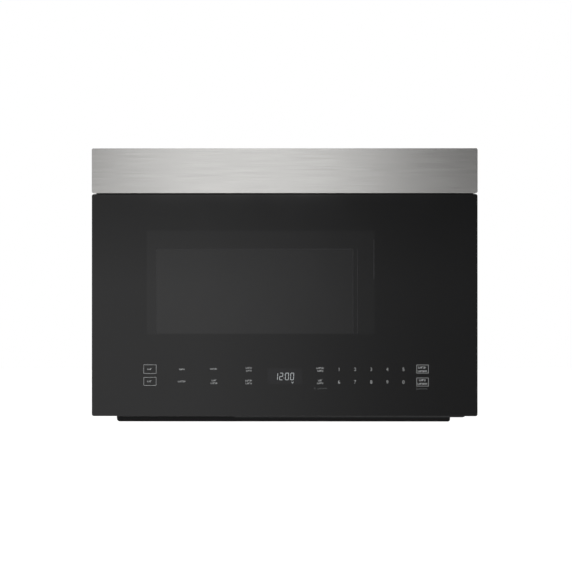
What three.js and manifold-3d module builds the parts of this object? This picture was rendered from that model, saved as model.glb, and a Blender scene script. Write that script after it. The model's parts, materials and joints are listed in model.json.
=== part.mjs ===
// Over the range microwave oven with a full width black glass door and a stainless band above it.
// Millimetres, +Z up, +X right, the front towards -Y. The wall is the plane Y = 0, and the origin is the
// centre of the wall plate's rear face. The pieces are laid out on heights above the base pan's underside,
// and one group carries them down to that origin.
import * as THREE from 'three';
import { mergeVertices } from 'three/addons/utils/BufferGeometryUtils.js';
import Module from 'manifold-3d';

const wasm = await Module();
wasm.setup();

// ---- Fits and stock --------------------------------------------------------------------------------
const CLEAR = 0.3; // gap that pieces keep where one rests on another
const RUN = 2; // running gap round what turns
const SHEET = 1; // folded sheet steel

// ---- Face, from the photograph ---------------------------------------------------------------------
const FACE_WIDTH = 759; // 29 7/8 in class
const GLASS_HEIGHT = 437;
const GLASS_THICK = 4;
const GLASS_CORNER = 4;
const BAND_HEIGHT = 88;
const BAND_CORNER = 3;
const BAND_SHEET = 1.2;
const SEAM = 2; // between the band and the door
const DEPTH = 340; // wall to the glass
const DOOR_DEPTH = 40;
const DOOR_GAP = 2; // behind the closed door
const PAN_DROP = 15; // base pan below the glass
const BAND_SLOTS = 18;
const BAND_SLOT_INSET = 90;
const BAND_SLOT_LONG = 26;
const BAND_SLOT_DEEP = 9;

// ---- Case ------------------------------------------------------------------------------------------
const CASE_SIDE = 3.5; // case side inside the face's edge
const RISER_WIDTH = 88; // air riser between the case side and the cavity
const BAY_WIDTH = 182; // electrics bay between the cavity and the case side
const CASE_TOP_STEP = 2; // case top below the band's top edge
const PAN_FLANGE = 19; // height of the pan's flange, which closes the case from below
const WALL_GAP = 3.3; // wall to the back panel
const OUTLET_WIDTH = 254; // 3 1/4 in by 10 in duct
const OUTLET_DEPTH = 83;
const OUTLET_BACK = 14; // wall side edge of the duct hole
const BOLT_HOLE = 4; // radius of the holes for the two cabinet bolts
const BOLT_SPAN = 560;
const BOLT_Y = -190;
const PLATE_SIDE = 26; // wall plate's end inside the case side
const PLATE_HEIGHT = 330;
const PLATE_BOTTOM = 105;
const PLATE_RIM = 1.4;
const PLATE_WINDOW_WIDTH = 150;
const PLATE_WINDOW_HEIGHT = 90;
const STUD_PITCH = 406; // two wall studs, 16 in apart
const HOOK_WIDTH = 34;
const HOOK_SPAN = 520;
const HOOK_RISE = 12;
const LOUVRES = 7;
const LOUVRE_SPAN = 84;
const LOUVRE_LONG = 46;
const LOUVRE_BACK = 95; // louvres' centre to the wall
const LOUVRE_RISE = 60; // above the case's lower edge
const INTAKE_SLOTS = 7;
const HOOK_ABOVE = 18; // hooks above the wall plate's lower edge
const PLATE_SHEET = 1.5;

// ---- Base pan --------------------------------------------------------------------------------------
const PAN_LEFT_IN = 42.2; // pan's ends inside the face's edges
const PAN_RIGHT_IN = 48;
const PAN_FRONT = 9; // pan's front wall behind the front frame
const PAN_BACK = 14;
const PAN_ROUND = 7; // between the pan's floor and its left end
const PAN_ROUND_RIGHT = 10;
const PAN_CORNER = 9; // upright corners
const FILTER_DEPTH = 142;
const FILTER_THICK = 8;
const FILTER_BACK = 52; // behind the filters, to the wall
const FILTER_IN = 53.3; // left filter's side to the pan's end
const FILTER_BAY_IN = 45; // right filter's side to the cavity's right side
const FILTER_BETWEEN = 40; // between the filters
const FILTER_RIM = 9;
const LENS_WIDTH = 96;
const LENS_DEPTH = 34;
const LENS_THICK = 3;
const LENS_FRONT = 22; // pan front to the lens
const LENS_IN = 15; // right lens to the cavity's right side
const LAMP_HEIGHT = 20;
const FILTER_FIT = 0.5;
const PAN_SLOTS = 6;
const PAN_SLOT_SPAN = 40;
const PAN_SLOT_BACK = 48;
const PAN_SLOT_LONG = 60;
const PAN_SLOT_IN = 30; // cavity's right side to the intake slots
const FILTER_CELLS = 5;
const FILTER_ROWS = 3;
const LENS_RIBS = 9;

// ---- Oven cavity -----------------------------------------------------------------------------------
const CAVITY_HEIGHT = 236;
const CAVITY_DEPTH = 268;
const CAVITY_RISE = 145; // cavity floor above the glass's lower edge
const CAVITY_CORNER = 14;
const TRAY_RADIUS = 126;
const TRAY_THICK = 5;
const TRAY_LIP = 9;
const TRACK_RADIUS = 95;
const ROLLER_RADIUS = 9;
const ROLLER_WIDTH = 7;
const ROLLERS = 3;
const HUB_RADIUS = 17;
const HUB_ARMS = 3;
const HUB_STEM = 9;
const HUB_ARM_HALF = 3.2;
const STUD_RADIUS = 3; // studs on the hub's arms, which turn the tray
const POCKET_DEEP = 2.4; // pockets for them in the tray
const SHAFT_RADIUS = 3.5;
const PORT_WIDTH = 84; // where the microwaves come in
const PORT_HEIGHT = 44;
const PORT_FLOOR = 60; // above the cavity floor
const MICA_MARGIN = 9;
const MICA_THICK = 0.8;
const HUB_ARM = 6;
const MOTOR_RADIUS = 25;
const MOTOR_LONG = 16;
const MOTOR_EAR = 9;
const DISC_RADIUS = 8; // thermostat
const DISC_X = 120; // thermostat from the cavity's middle
const DISC_Y = 60;
const DISC_EAR = 15;
const AXLE_RADIUS = 2;
const LAMP_BACK = 150; // lamp and vent grilles to the wall

// ---- Door ------------------------------------------------------------------------------------------
const WINDOW_LEFT = 108.4; // from the glass's left edge
const WINDOW_RISE = 161.3; // from the glass's lower edge
const WINDOW_RIGHT = 202.3; // from the glass's right edge
const WINDOW_HEIGHT = 203.9;
const FRAME_INSET = 2; // door frame inside the glass's edge
const FRAME_SKIN = 4; // frame's front wall round the window
const CHOKE_OVERLAP = 22; // door steel past the cavity's mouth
const CHOKE_WIDTH = 17; // folded channel round the door steel
const CHOKE_DEPTH = 21;
const CHOKE_SLOTS = 15; // slots along the long side
const COVER_THICK = 2.4;
const INNER_GLASS = 2;
const HINGE_IN = 10; // hinge pin from the glass's left edge
const HINGE_BACK = 12; // hinge pin from the glass's front
const HINGE_PIN = 3;
const HINGE_PIN_LONG = 12;
const HINGE_LEAF = 2.5;
const HINGE_WIDTH = 10;
const HINGE_NOTCH = 26;
const LATCH_IN = 87.5; // latch from the glass's right edge
const LATCH_SPAN = 170;
const LATCH_TRAVEL = 6;
const LATCH_BAR = 12;
const LATCH_REACH = 24; // hooks behind the door
const LATCH_THICK = 4;
const SPRING_RADIUS = 3;
const SPRING_WIRE = 0.8;
const SPRING_TURNS = 7;
const SPRING_LENGTH = 32;
const GRIP_IN = 18.5; // grip's end from the glass's right edge
const GRIP_LONG_IN = 272.5; // its other end from the glass's left edge
const GRIP_TAPER = 10;
const GRIP_LIP = 2.6; // lip below the glass
const GRIP_WALL = 2.2;
const GRIP_DEPTH = 21;
const GRIP_HEIGHT = 15;
const BOARD_LEFT_IN = 87.5; // touch board from the glass's edges
const BOARD_RIGHT_IN = 81.5;
const BOARD_RISE = 42; // from the glass's lower edge
const BOARD_HEIGHT = 74;
const BOARD_THICK = 1.6;
const BOARD_POCKET = 13;
const DISPLAY_WIDTH = 68;
const DISPLAY_HEIGHT = 31;
const DISPLAY_RISE = 63.4;
const DISPLAY_X = 0.6;
const KEY_PAD_RADIUS = 5.5;
const KEY_ROWS = 2;
const KEY_PITCH = 0.0536; // pitch of the digits, as a share of the board
const KEY_PITCH_Z = 24.9;
const KEY_DIGIT_START = 0.6766; // first digit along the board
const KEY_DIGIT_RISE = 92.2;
const KEY_DIGITS = 5;
const DOOR_CHAMFER = 8;
const SCREEN_THICK = 1;
const SCREEN_LEFT_IN = 17.3; // darker screen border inside the window, left
const SCREEN_RIGHT_IN = 41.6;
const SCREEN_TOP_IN = 33.4;
const CHOKE_SLOT_INSET = 6;
const CHOKE_SIDE_SLOTS = 6;
const COVER_LAP = 4; // choke cover over the inner window
const PAD_HEIGHT = 5;
const CHIPS = 4;
const CHIP_SIZE = 14;
const CHIP_SHARE = 0.71; // of the board, from the first chip to the last
const DISPLAY_DEEP = 10;
const KEY_END = 27; // the end keys from the board's ends
const KEY_WORD_START = 0.15; // first plain key along the board
const KEY_WORD_PITCH = 0.109;
const KEY_OPTION = 0.6127; // the keys before the digits
const LATCH_WELL = 27; // depth of the latch channel
const LATCH_SEAT = 3;
const LATCH_END = 20;
const LATCH_SIDE = 6;

// ---- Exhaust blower --------------------------------------------------------------------------------
const WHEEL_RADIUS = 50;
const WHEEL_WIDTH = 62;
const WHEEL_BLADES = 18;
const BLADE_DEPTH = 10;
const BLADE_THICK = 1.2;
const BLOWER_SHAFT = 4;
const BLOWER_MOTOR_RADIUS = 40;
const BLOWER_MOTOR_LONG = 74;
const SCROLL_START = 55; // radius at the tongue
const SCROLL_END = 78;
const SCROLL_TURN = 290; // degrees round the wheel
const SCROLL_SIDE = 8; // wheel to the scroll's side sheets
const CHARCOAL_WIDTH = 420;
const CHARCOAL_HEIGHT = 62;
const CHARCOAL_THICK = 13;
const BLADE_LEAN = 0.45; // forward lean of a blade over its depth
const SCROLL_STEPS = 22;
const CHARCOAL_CELLS = 9;
const CHARCOAL_LAP = 8; // frame overlap round the charcoal filter
const CHARCOAL_DROP = 14; // below the case top

// ---- Electrics -------------------------------------------------------------------------------------
const FAN_RADIUS = 46;
const FAN_BLADES = 5;
const FAN_DEPTH = 18;
const FAN_HUB = 13;
const SHROUD_SIZE = 112;
const SHROUD_DEPTH = 27;
const FAN_SIDE = 88; // fan's axis to the case side
const FAN_RISE = 262;
const FAN_MOTOR_LONG = 34;
const FAN_MOTOR_SIZE = 58;
const GUIDE_DEPTH = 42; // waveguide, out from the cavity wall
const GUIDE_HEIGHT = 128;
const MAGNETRON_WIDTH = 86;
const MAGNETRON_HEIGHT = 76;
const MAGNETRON_DEPTH = 92;
const MAGNETRON_FINS = 5;
const FIN_THICK = 1.2;
const CORE_WIDTH = 96;
const CORE_DEPTH = 62;
const CORE_HEIGHT = 80;
const COIL_PROUD = 15;
const CAN_WIDTH = 50;
const CAN_THICK = 32;
const PCB_DEPTH = 150;
const PCB_HEIGHT = 108;
const PCB_STANDOFF = 8;
const GLAND_RADIUS = 12;
const GLAND_BORE = 5;
const FILTER_BOX = 20; // filter box behind the magnetron
const ANTENNA_DROP = 34; // antenna below the waveguide's top
const FAN_SHAFT = 2.5;
const FAN_PITCH = 0.42; // blade angle in radians
const CORE_IN = 62; // cavity's right side to the transformer's middle
const CORE_BACK = 128; // transformer's centre to the wall
const CAN_IN = 40; // cavity's right side to the capacitor's middle
const CAN_BEHIND = 21; // capacitor's front end behind the front frame
const CAN_TO_COIL = 10; // capacitor's back end to the transformer's coil
const PCB_FRONT = 262;
const PCB_RISE = 372;
const PCB_POST = 12; // posts in from the board's corners
const RELAYS = 4;
const RELAY_SIZE = 18;
const RELAY_SPAN = 84;
const SUPPLY_SIZE = 36;
const MAINS_WIDTH = 50; // mains filter board
const MAINS_DEPTH = 64;
const MAINS_CHOKE = 13;
const MAINS_DROP = 8;
const GLAND_SIDE = 76; // bush to the case side
const GLAND_BACK = 70;
const GLAND_LONG = 12;
const GLAND_LIP = 1.5;
const BRACKET_WALL = 2;
const BRACKET_DEPTH = 30;
const BRACKET_BELOW = 26; // bracket past the lower hook
const BRACKET_ABOVE = 30; // and past the upper one
const BRACKET_ROOM = 4; // either side of the hooks
const BRACKET_FLANGE = 14;
const BRACKET_RUNG = 40; // rungs in from the hooks
const SHELF_THICK = 4;
const LEVER_WIDTH = 9;
const LEVER_IN = 12; // lever's pin behind the bracket's flange
const LEVER_PIN = 1.5;
const LEVER_LONG = 20;
const LEVER_RISE = 16; // lever above its switch
const SWITCH_DROP = 30;

// ---- Places worked out from the sizes --------------------------------------------------------------
const glassFront = -DEPTH;
const glassBack = glassFront + GLASS_THICK;
const doorBack = glassFront + DOOR_DEPTH;
const frameFront = doorBack + DOOR_GAP;
const frameBack = frameFront + SHEET;
const glassLow = PAN_DROP;
const glassTop = glassLow + GLASS_HEIGHT;
const bandLow = glassTop + SEAM;
const bandTop = bandLow + BAND_HEIGHT;
const caseTop = bandTop - CASE_TOP_STEP;
const caseLow = PAN_FLANGE + CLEAR;
const caseHalf = FACE_WIDTH / 2 - CASE_SIDE;
const panLeft = PAN_LEFT_IN - FACE_WIDTH / 2;
const panRight = FACE_WIDTH / 2 - PAN_RIGHT_IN;
const plateHalf = caseHalf - PLATE_SIDE;
const backFace = -WALL_GAP;
const backInner = backFace - SHEET;
const plateCentre = PLATE_BOTTOM + PLATE_HEIGHT / 2;
const cavityLeft = RISER_WIDTH + SHEET - caseHalf;
const cavityRight = caseHalf - BAY_WIDTH - SHEET;
const cavityX = (cavityLeft + cavityRight) / 2;
const cavityFloor = glassLow + CAVITY_RISE;
const cavityTop = cavityFloor + CAVITY_HEIGHT;
const cavityFront = frameBack + CLEAR;
const cavityBack = cavityFront + CAVITY_DEPTH;
const trayY = (cavityFront + cavityBack) / 2;
const trayLow = cavityFloor + 2 * (ROLLER_RADIUS + CLEAR);
const windowLeft = WINDOW_LEFT - FACE_WIDTH / 2;
const windowRight = FACE_WIDTH / 2 - WINDOW_RIGHT;
const windowLow = glassLow + WINDOW_RISE;
const hingeX = HINGE_IN - FACE_WIDTH / 2;
const hingeY = glassFront + HINGE_BACK;
const filterBack = -FILTER_BACK;
const outletY = -OUTLET_BACK - OUTLET_DEPTH / 2 - WALL_GAP;
const blowerX = 0;
const blowerY = backInner - CLEAR - SCROLL_END - SHEET;

// Radius of the scroll after it has gone a share of its turn from the tongue.
const scrollRadius = (share) => SCROLL_START + (SCROLL_END - SCROLL_START) * share;
const scrollBelow = scrollRadius((SCROLL_TURN - 90) / SCROLL_TURN);
const blowerZ = cavityTop + SHEET + CLEAR + scrollBelow + SHEET;
const scrollRun = WHEEL_WIDTH + 2 * SCROLL_SIDE;
const scrollLeft = blowerX - BLOWER_MOTOR_LONG / 2 - RUN - scrollRun;
const scrollRight = blowerX + BLOWER_MOTOR_LONG / 2 + RUN;
const portLow = cavityFloor + PORT_FLOOR;
const fanBack = backInner - CLEAR;
const boardFront = glassBack + CLEAR;
const charcoalTop = caseTop - CHARCOAL_DROP;
const charcoalLow = charcoalTop - CHARCOAL_HEIGHT;
const hookZ = PLATE_BOTTOM + HOOK_ABOVE;
const glandX = caseHalf - GLAND_SIDE;
const fanX = caseHalf - FAN_SIDE;
const filterLow = panLeft + FILTER_IN; // left end of the left filter
const filterHigh = cavityRight - FILTER_BAY_IN; // right end of the right one
const filterWidth = (filterHigh - filterLow - FILTER_BETWEEN) / 2;
const filterLeftX = filterLow + filterWidth / 2;
const filterRightX = filterHigh - filterWidth / 2;
const lampX = cavityRight - LENS_IN - LENS_WIDTH / 2;
const glandY = -GLAND_BACK;
const louvreY = -LOUVRE_BACK;
const louvreLow = caseLow + LOUVRE_RISE;
const fanZ = FAN_RISE;
const panFront = frameBack + PAN_FRONT;
const panBack = -PAN_BACK;
const filterFront = filterBack - FILTER_DEPTH;
const lensFront = panFront + LENS_FRONT;
const coreY = -CORE_BACK;
const panSlotX = cavityRight + PAN_SLOT_IN;
const cavityMid = cavityFloor + CAVITY_HEIGHT / 2;
const hookHeights = () => [-1, 1].map((side) => cavityMid + side * LATCH_SPAN / 2);
const lampY = -LAMP_BACK;
const steelLeft = cavityLeft - CHOKE_OVERLAP;
const steelRight = cavityRight + CHOKE_OVERLAP;
const steelLow = cavityFloor - CHOKE_OVERLAP;
const steelTop = cavityTop + CHOKE_OVERLAP;
const coverFront = doorBack - CLEAR - COVER_THICK;
const steelFront = boardFront + FRAME_SKIN + CLEAR;
const screenLeft = windowLeft + SCREEN_LEFT_IN;
const screenRight = windowRight - SCREEN_RIGHT_IN;
const screenLow = windowLow;
const screenTop = windowLow + WINDOW_HEIGHT - SCREEN_TOP_IN;
const boardLow = glassLow + BOARD_RISE;
const boardLeft = BOARD_LEFT_IN - FACE_WIDTH / 2;
const boardRight = FACE_WIDTH / 2 - BOARD_RIGHT_IN;
const boardLong = boardRight - boardLeft;
const gripLeft = GRIP_LONG_IN - FACE_WIDTH / 2;
const gripRight = FACE_WIDTH / 2 - GRIP_IN;
const digitZ = glassLow + KEY_DIGIT_RISE;
const latchX = FACE_WIDTH / 2 - LATCH_IN;
const displayLow = [DISPLAY_X - DISPLAY_WIDTH / 2, glassLow + DISPLAY_RISE];
const displayHigh = [DISPLAY_X + DISPLAY_WIDTH / 2, glassLow + DISPLAY_RISE + DISPLAY_HEIGHT];
const latchLeft = latchX - LATCH_THICK / 2 - LATCH_SIDE;
const latchRight = latchX + LATCH_THICK / 2 + LATCH_SIDE;
const latchLow = cavityMid - LATCH_SPAN / 2 - LATCH_END - SPRING_LENGTH - 2 * (SPRING_WIRE + CLEAR);
const latchTop = cavityMid + LATCH_SPAN / 2 + LATCH_END + LATCH_TRAVEL + 4;
const gripFront = boardFront + 1;
const gripLow = glassLow - GRIP_LIP;
const gripTop = glassLow + GRIP_HEIGHT;
const guideLeft = cavityRight + SHEET + CLEAR;
const antennaZ = portLow - SHEET + GUIDE_HEIGHT - ANTENNA_DROP;
const coreX = cavityRight + CORE_IN;
const canX = cavityRight + CAN_IN;
const canFront = frameBack + CAN_BEHIND;
const canLong = coreY - CORE_DEPTH / 2 - COIL_PROUD - CAN_TO_COIL - canFront;
const pcbFront = -PCB_FRONT;
const pcbLow = PCB_RISE;
const switchZ = cavityMid - LATCH_SPAN / 2 + SWITCH_DROP;
const leverZ = switchZ + LEVER_RISE;
const leverY = frameBack + 3 * CLEAR + BRACKET_WALL + LEVER_IN;
const bracketX = latchX + LATCH_THICK / 2 + BRACKET_ROOM; // bracket's plate beside the hooks
const leverX = bracketX + BRACKET_WALL + CLEAR;

// ---- Tools -----------------------------------------------------------------------------------------
const object = new THREE.Group();
const laidOut = new THREE.Group();
laidOut.position.z = -plateCentre;
object.add(laidOut);

function piece(name, geometry, material, parent = laidOut) {
  const mesh = new THREE.Mesh(geometry, material);
  mesh.name = name;
  parent.add(mesh);
  return mesh;
}

// A closed geometry as a solid that can be cut and joined.
function solid(geometry) {
  const bare = geometry.clone();
  bare.deleteAttribute('normal');
  bare.deleteAttribute('uv');
  const welded = mergeVertices(bare, 1e-4);
  return new wasm.Manifold(new wasm.Mesh({
    numProp: 3,
    vertProperties: new Float32Array(welded.attributes.position.array),
    triVerts: new Uint32Array(welded.index.array),
  }));
}

function shown(body) {
  const mesh = body.getMesh();
  const geometry = new THREE.BufferGeometry();
  geometry.setAttribute('position', new THREE.BufferAttribute(mesh.vertProperties, 3));
  geometry.setIndex(new THREE.BufferAttribute(mesh.triVerts, 1));
  const loose = geometry.toNonIndexed();
  loose.computeVertexNormals();
  return loose;
}

function join(...geometries) {
  return geometries.map(solid).reduce((sum, next) => sum.add(next));
}

function cut(body, ...geometries) {
  return geometries.map(solid).reduce((rest, next) => rest.subtract(next), body);
}

// A box from its lowest to its highest corner.
function block(x0, x1, y0, y1, z0, z1) {
  const box = new THREE.BoxGeometry(x1 - x0, y1 - y0, z1 - z0);
  return box.translate((x0 + x1) / 2, (y0 + y1) / 2, (z0 + z1) / 2);
}

// A plain rectangle as a shape or a hole, from its lowest to its highest corner.
function square(Kind, x0, x1, y0, y1) {
  return new Kind([[x0, y0], [x1, y0], [x1, y1], [x0, y1]].map(([x, y]) => new THREE.Vector2(x, y)));
}

// A rectangle with rounded corners as a shape, from its lowest to its highest corner.
function rounded(Kind, x0, x1, y0, y1, radius) {
  const r = Math.max(Math.min(radius, (x1 - x0) / 2.2, (y1 - y0) / 2.2), 0.05);
  const path = new Kind();
  path.moveTo(x0 + r, y0);
  path.lineTo(x1 - r, y0);
  path.absarc(x1 - r, y0 + r, r, -Math.PI / 2, 0);
  path.lineTo(x1, y1 - r);
  path.absarc(x1 - r, y1 - r, r, 0, Math.PI / 2);
  path.lineTo(x0 + r, y1);
  path.absarc(x0 + r, y1 - r, r, Math.PI / 2, Math.PI);
  path.lineTo(x0, y0 + r);
  path.absarc(x0 + r, y0 + r, r, Math.PI, 1.5 * Math.PI);
  return path;
}

function outline(points) {
  return new THREE.Shape(points.map(([x, y]) => new THREE.Vector2(x, y)));
}

// A shape drawn as seen from the front (X right, Z up), run from y0 back to y1.
function frontCut(shape, y0, y1, segments = 2) {
  const run = new THREE.ExtrudeGeometry(shape,
      { depth: y1 - y0, bevelEnabled: false, curveSegments: segments });
  return run.rotateX(Math.PI / 2).translate(0, y1, 0);
}

// A shape drawn as seen from above (X right, Y back), run from z0 up to z1.
function planCut(shape, z0, z1, segments = 2) {
  const run = new THREE.ExtrudeGeometry(shape,
      { depth: z1 - z0, bevelEnabled: false, curveSegments: segments });
  return run.translate(0, 0, z0);
}

// A shape drawn as seen from the right side (first number Y, second Z), run from x0 to x1.
function sideCut(shape, x0, x1, segments = 2) {
  const run = new THREE.ExtrudeGeometry(shape,
      { depth: x1 - x0, bevelEnabled: false, curveSegments: segments });
  return run.applyMatrix4(new THREE.Matrix4().set(0, 0, 1, x0, 1, 0, 0, 0, 0, 1, 0, 0, 0, 0, 0, 1));
}

// A round bar along an axis, from one place to another, centred on the other two values.
function bar(axis, radius, from, to, a, b, sides = 16) {
  const rod = new THREE.CylinderGeometry(radius, radius, to - from, sides);
  const middle = (from + to) / 2;
  if (axis === 'x') return rod.rotateZ(Math.PI / 2).translate(middle, a, b);
  if (axis === 'y') return rod.translate(a, middle, b);
  return rod.rotateX(Math.PI / 2).translate(a, b, middle);
}

// A profile of [radius, height] points turned about the vertical axis.
function turned(profile, segments = 24) {
  const points = profile.map(([r, z]) => new THREE.Vector2(r, z));
  return new THREE.LatheGeometry(points, segments).rotateX(Math.PI / 2);
}

// Places of n copies spread evenly over a span about a centre.
function spread(n, span, centre = 0) {
  return Array.from({ length: n }, (_, i) => centre + (n > 1 ? (i / (n - 1) - 0.5) * span : 0));
}

// ---- Materials -------------------------------------------------------------------------------------
const finish = (color, metalness, roughness) =>
  new THREE.MeshStandardMaterial({ color, metalness, roughness });
const brushedSteel = finish(0xb9b8b6, 1, 0.34);
const blackGlass = finish(0x17171a, 0, 0.08);
const blackPlastic = finish(0x1b1b1c, 0, 0.5);
const blackPaint = finish(0x1f1f20, 0.1, 0.45);
const zincSteel = finish(0xa9acb0, 0.9, 0.42);
const greyEnamel = finish(0x8f9193, 0.1, 0.4);
const clearGlass = finish(0xdfe8e6, 0, 0.05);
const whitePlastic = finish(0xe4e2dc, 0, 0.45);
const mica = finish(0xb9a57c, 0, 0.6);
const aluminium = finish(0xc6c8ca, 1, 0.38);
const carbon = finish(0x242424, 0, 0.95);
const copper = finish(0xb06a3a, 0.9, 0.4);
const boardGreen = finish(0x23583a, 0.1, 0.5);
const rubber = finish(0x161616, 0, 0.85);

// ---- Case ------------------------------------------------------------------------------------------
// The stainless band: a folded sheet, open at the back, with a row of air slots in its top return.
function trimBand() {
  const half = FACE_WIDTH / 2;
  const back = frameFront - CLEAR;
  const skin = rounded(THREE.Shape, -half, half, bandLow, bandTop, BAND_CORNER);
  const hollow = block(-half + BAND_SHEET, half - BAND_SHEET, glassFront + BAND_SHEET, back + 1,
    bandLow + BAND_SHEET, bandTop - BAND_SHEET);
  const slotBack = back - 12;
  const slots = spread(BAND_SLOTS, FACE_WIDTH - BAND_SLOT_INSET).map((x) =>
    block(x - BAND_SLOT_LONG / 2, x + BAND_SLOT_LONG / 2, slotBack - BAND_SLOT_DEEP, slotBack,
      bandTop - 2 * BAND_SHEET, bandTop + 1));
  return shown(cut(solid(frontCut(skin, glassFront, back)), hollow, ...slots));
}

// The front frame: the sheet that the cavity, the hinges and the band fasten to.
function frontFrame() {
  const through = [frameFront - 1, frameBack + 1];
  const sheet = block(-caseHalf, caseHalf, frameFront, frameBack, caseLow, caseTop);
  const mouth = frontCut(rounded(THREE.Shape, cavityLeft, cavityRight, cavityFloor, cavityTop, CAVITY_CORNER),
    ...through);
  const airHalf = CHARCOAL_WIDTH / 2 - CHARCOAL_LAP;
  const air = block(-airHalf, airHalf, ...through, charcoalLow + CHARCOAL_LAP, charcoalTop - CHARCOAL_LAP);
  const slots = hookHeights().map((z) => block(latchX - LATCH_THICK / 2 - RUN, latchX + LATCH_THICK / 2 + RUN,
    ...through, z - LATCH_BAR / 2 - 4, z + LATCH_BAR / 2 + LATCH_TRAVEL + 3));
  const ledge = block(-CHARCOAL_WIDTH / 2, CHARCOAL_WIDTH / 2, frameFront + SHEET / 2,
    frameBack + CHARCOAL_THICK + 2, charcoalLow - CLEAR - SHEET, charcoalLow - CLEAR);
  return shown(cut(join(sheet, ledge), mouth, air, ...slots));
}

// Top and both sides in one U-shaped sheet.
function caseWrap() {
  const inner = caseHalf - SHEET;
  const front = frameBack + CLEAR;
  const wrap = outline([[-caseHalf, caseLow], [-inner, caseLow], [-inner, caseTop - SHEET],
    [inner, caseTop - SHEET], [inner, caseLow], [caseHalf, caseLow], [caseHalf, caseTop],
    [-caseHalf, caseTop]]);
  const over = caseTop - 2 * SHEET;
  const outlet = block(-OUTLET_WIDTH / 2, OUTLET_WIDTH / 2, outletY - OUTLET_DEPTH / 2,
    outletY + OUTLET_DEPTH / 2, over, caseTop + 1);
  const bolts = [-1, 1].map((side) => bar('z', BOLT_HOLE, over, caseTop + 1, side * BOLT_SPAN / 2, BOLT_Y,
      12));
  const gland = bar('z', GLAND_RADIUS - 3, over, caseTop + 1, glandX, glandY, 16);
  const louvres = spread(LOUVRES, LOUVRE_SPAN, louvreY).map((y) =>
    block(inner - 1, caseHalf + 1, y - 2, y + 2, louvreLow, louvreLow + LOUVRE_LONG));
  return shown(cut(solid(frontCut(wrap, front, backFace)), outlet, ...bolts, gland, ...louvres));
}

// The sheet at the back, with two slots for the wall plate's hooks and the fan's intake slots.
function backPanel() {
  const half = caseHalf - SHEET - CLEAR;
  const through = [backInner - 1, backFace + 1];
  const sheet = block(-half, half, backInner, backFace, caseLow, caseTop - SHEET - CLEAR);
  const hookSlots = [-1, 1].map((side) => block(side * HOOK_SPAN / 2 - HOOK_WIDTH / 2 - 3,
    side * HOOK_SPAN / 2 + HOOK_WIDTH / 2 + 3, ...through, hookZ - 3, hookZ + HOOK_RISE + 6));
  const intake = spread(INTAKE_SLOTS, FAN_RADIUS * 1.5, fanZ).map((z) => {
    const reach = Math.sqrt(FAN_RADIUS ** 2 - (z - fanZ) ** 2) - 3;
    return block(fanX - reach, fanX + reach, ...through, z - 2.2, z + 2.2);
  });
  return shown(cut(solid(sheet), ...hookSlots, ...intake));
}

// The steel plate that is screwed to the studs: flat, with a pressed rim, two windows, rows of stud holes
// and two hooks that the back panel hangs on.
function wallPlate() {
  const half = plateHalf;
  const top = PLATE_BOTTOM + PLATE_HEIGHT;
  const sheet = rounded(THREE.Shape, -half, half, PLATE_BOTTOM, top, 8);
  const windowSpan = 2 * (half - PLATE_WINDOW_WIDTH);
  [-1, 1].forEach((side) => {
    const x = side * windowSpan / 2;
    sheet.holes.push(rounded(THREE.Path, x - PLATE_WINDOW_WIDTH / 2, x + PLATE_WINDOW_WIDTH / 2,
      plateCentre - PLATE_WINDOW_HEIGHT / 2, plateCentre + PLATE_WINDOW_HEIGHT / 2, 10));
    spread(3, PLATE_HEIGHT - 60, plateCentre).forEach((z) => {
      const hole = new THREE.Path();
      hole.absarc(side * STUD_PITCH / 2, z === plateCentre ? z + PLATE_WINDOW_HEIGHT / 2 + 25 : z, 3.2, 0,
          2 * Math.PI);
      sheet.holes.push(hole);
    });
  });
  const rim = rounded(THREE.Shape, -half, half, PLATE_BOTTOM, top, 8);
  rim.holes.push(rounded(THREE.Path, -half + 14, half - 14, PLATE_BOTTOM + 14, top - 14, 6));
  const hooks = [-1, 1].flatMap((side) => {
    const x0 = side * HOOK_SPAN / 2 - HOOK_WIDTH / 2;
    const reach = backInner - CLEAR - PLATE_SHEET;
    return [block(x0, x0 + HOOK_WIDTH, reach, -PLATE_SHEET / 2, hookZ, hookZ + PLATE_SHEET),
      block(x0, x0 + HOOK_WIDTH, reach, reach + PLATE_SHEET, hookZ, hookZ + HOOK_RISE)];
  });
  return shown(join(frontCut(sheet, -PLATE_SHEET, 0),
    frontCut(rim, -PLATE_SHEET - PLATE_RIM, -PLATE_SHEET / 2), ...hooks));
}

// The black pan under the case: a wide flange and a shallow tub with sloping, rounded ends. The grease
// filters and the lamp lenses sit in its floor, and small slots let air in to the electrics.
function panTub(shrink, low) {
  const left = panLeft + shrink;
  const right = panRight - shrink;
  const [r, s] = [PAN_ROUND - shrink, PAN_ROUND_RIGHT - shrink];
  const shape = new THREE.Shape();
  shape.moveTo(left, PAN_FLANGE);
  shape.lineTo(left, low + r);
  shape.absarc(left + r, low + r, r, Math.PI, 1.5 * Math.PI);
  shape.lineTo(right - s, low);
  shape.absarc(right - s, low + s, s, -Math.PI / 2, 0);
  shape.lineTo(right, PAN_FLANGE);
  return frontCut(shape, panFront + shrink, panBack - shrink, 3);
}

// The pan's plan, with round corners, between two heights.
function panPlan(shrink, low, top) {
  return planCut(rounded(THREE.Shape, panLeft + shrink, panRight - shrink, panFront + shrink,
      panBack - shrink,
    PAN_CORNER - shrink), low, top, 3);
}

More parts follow.
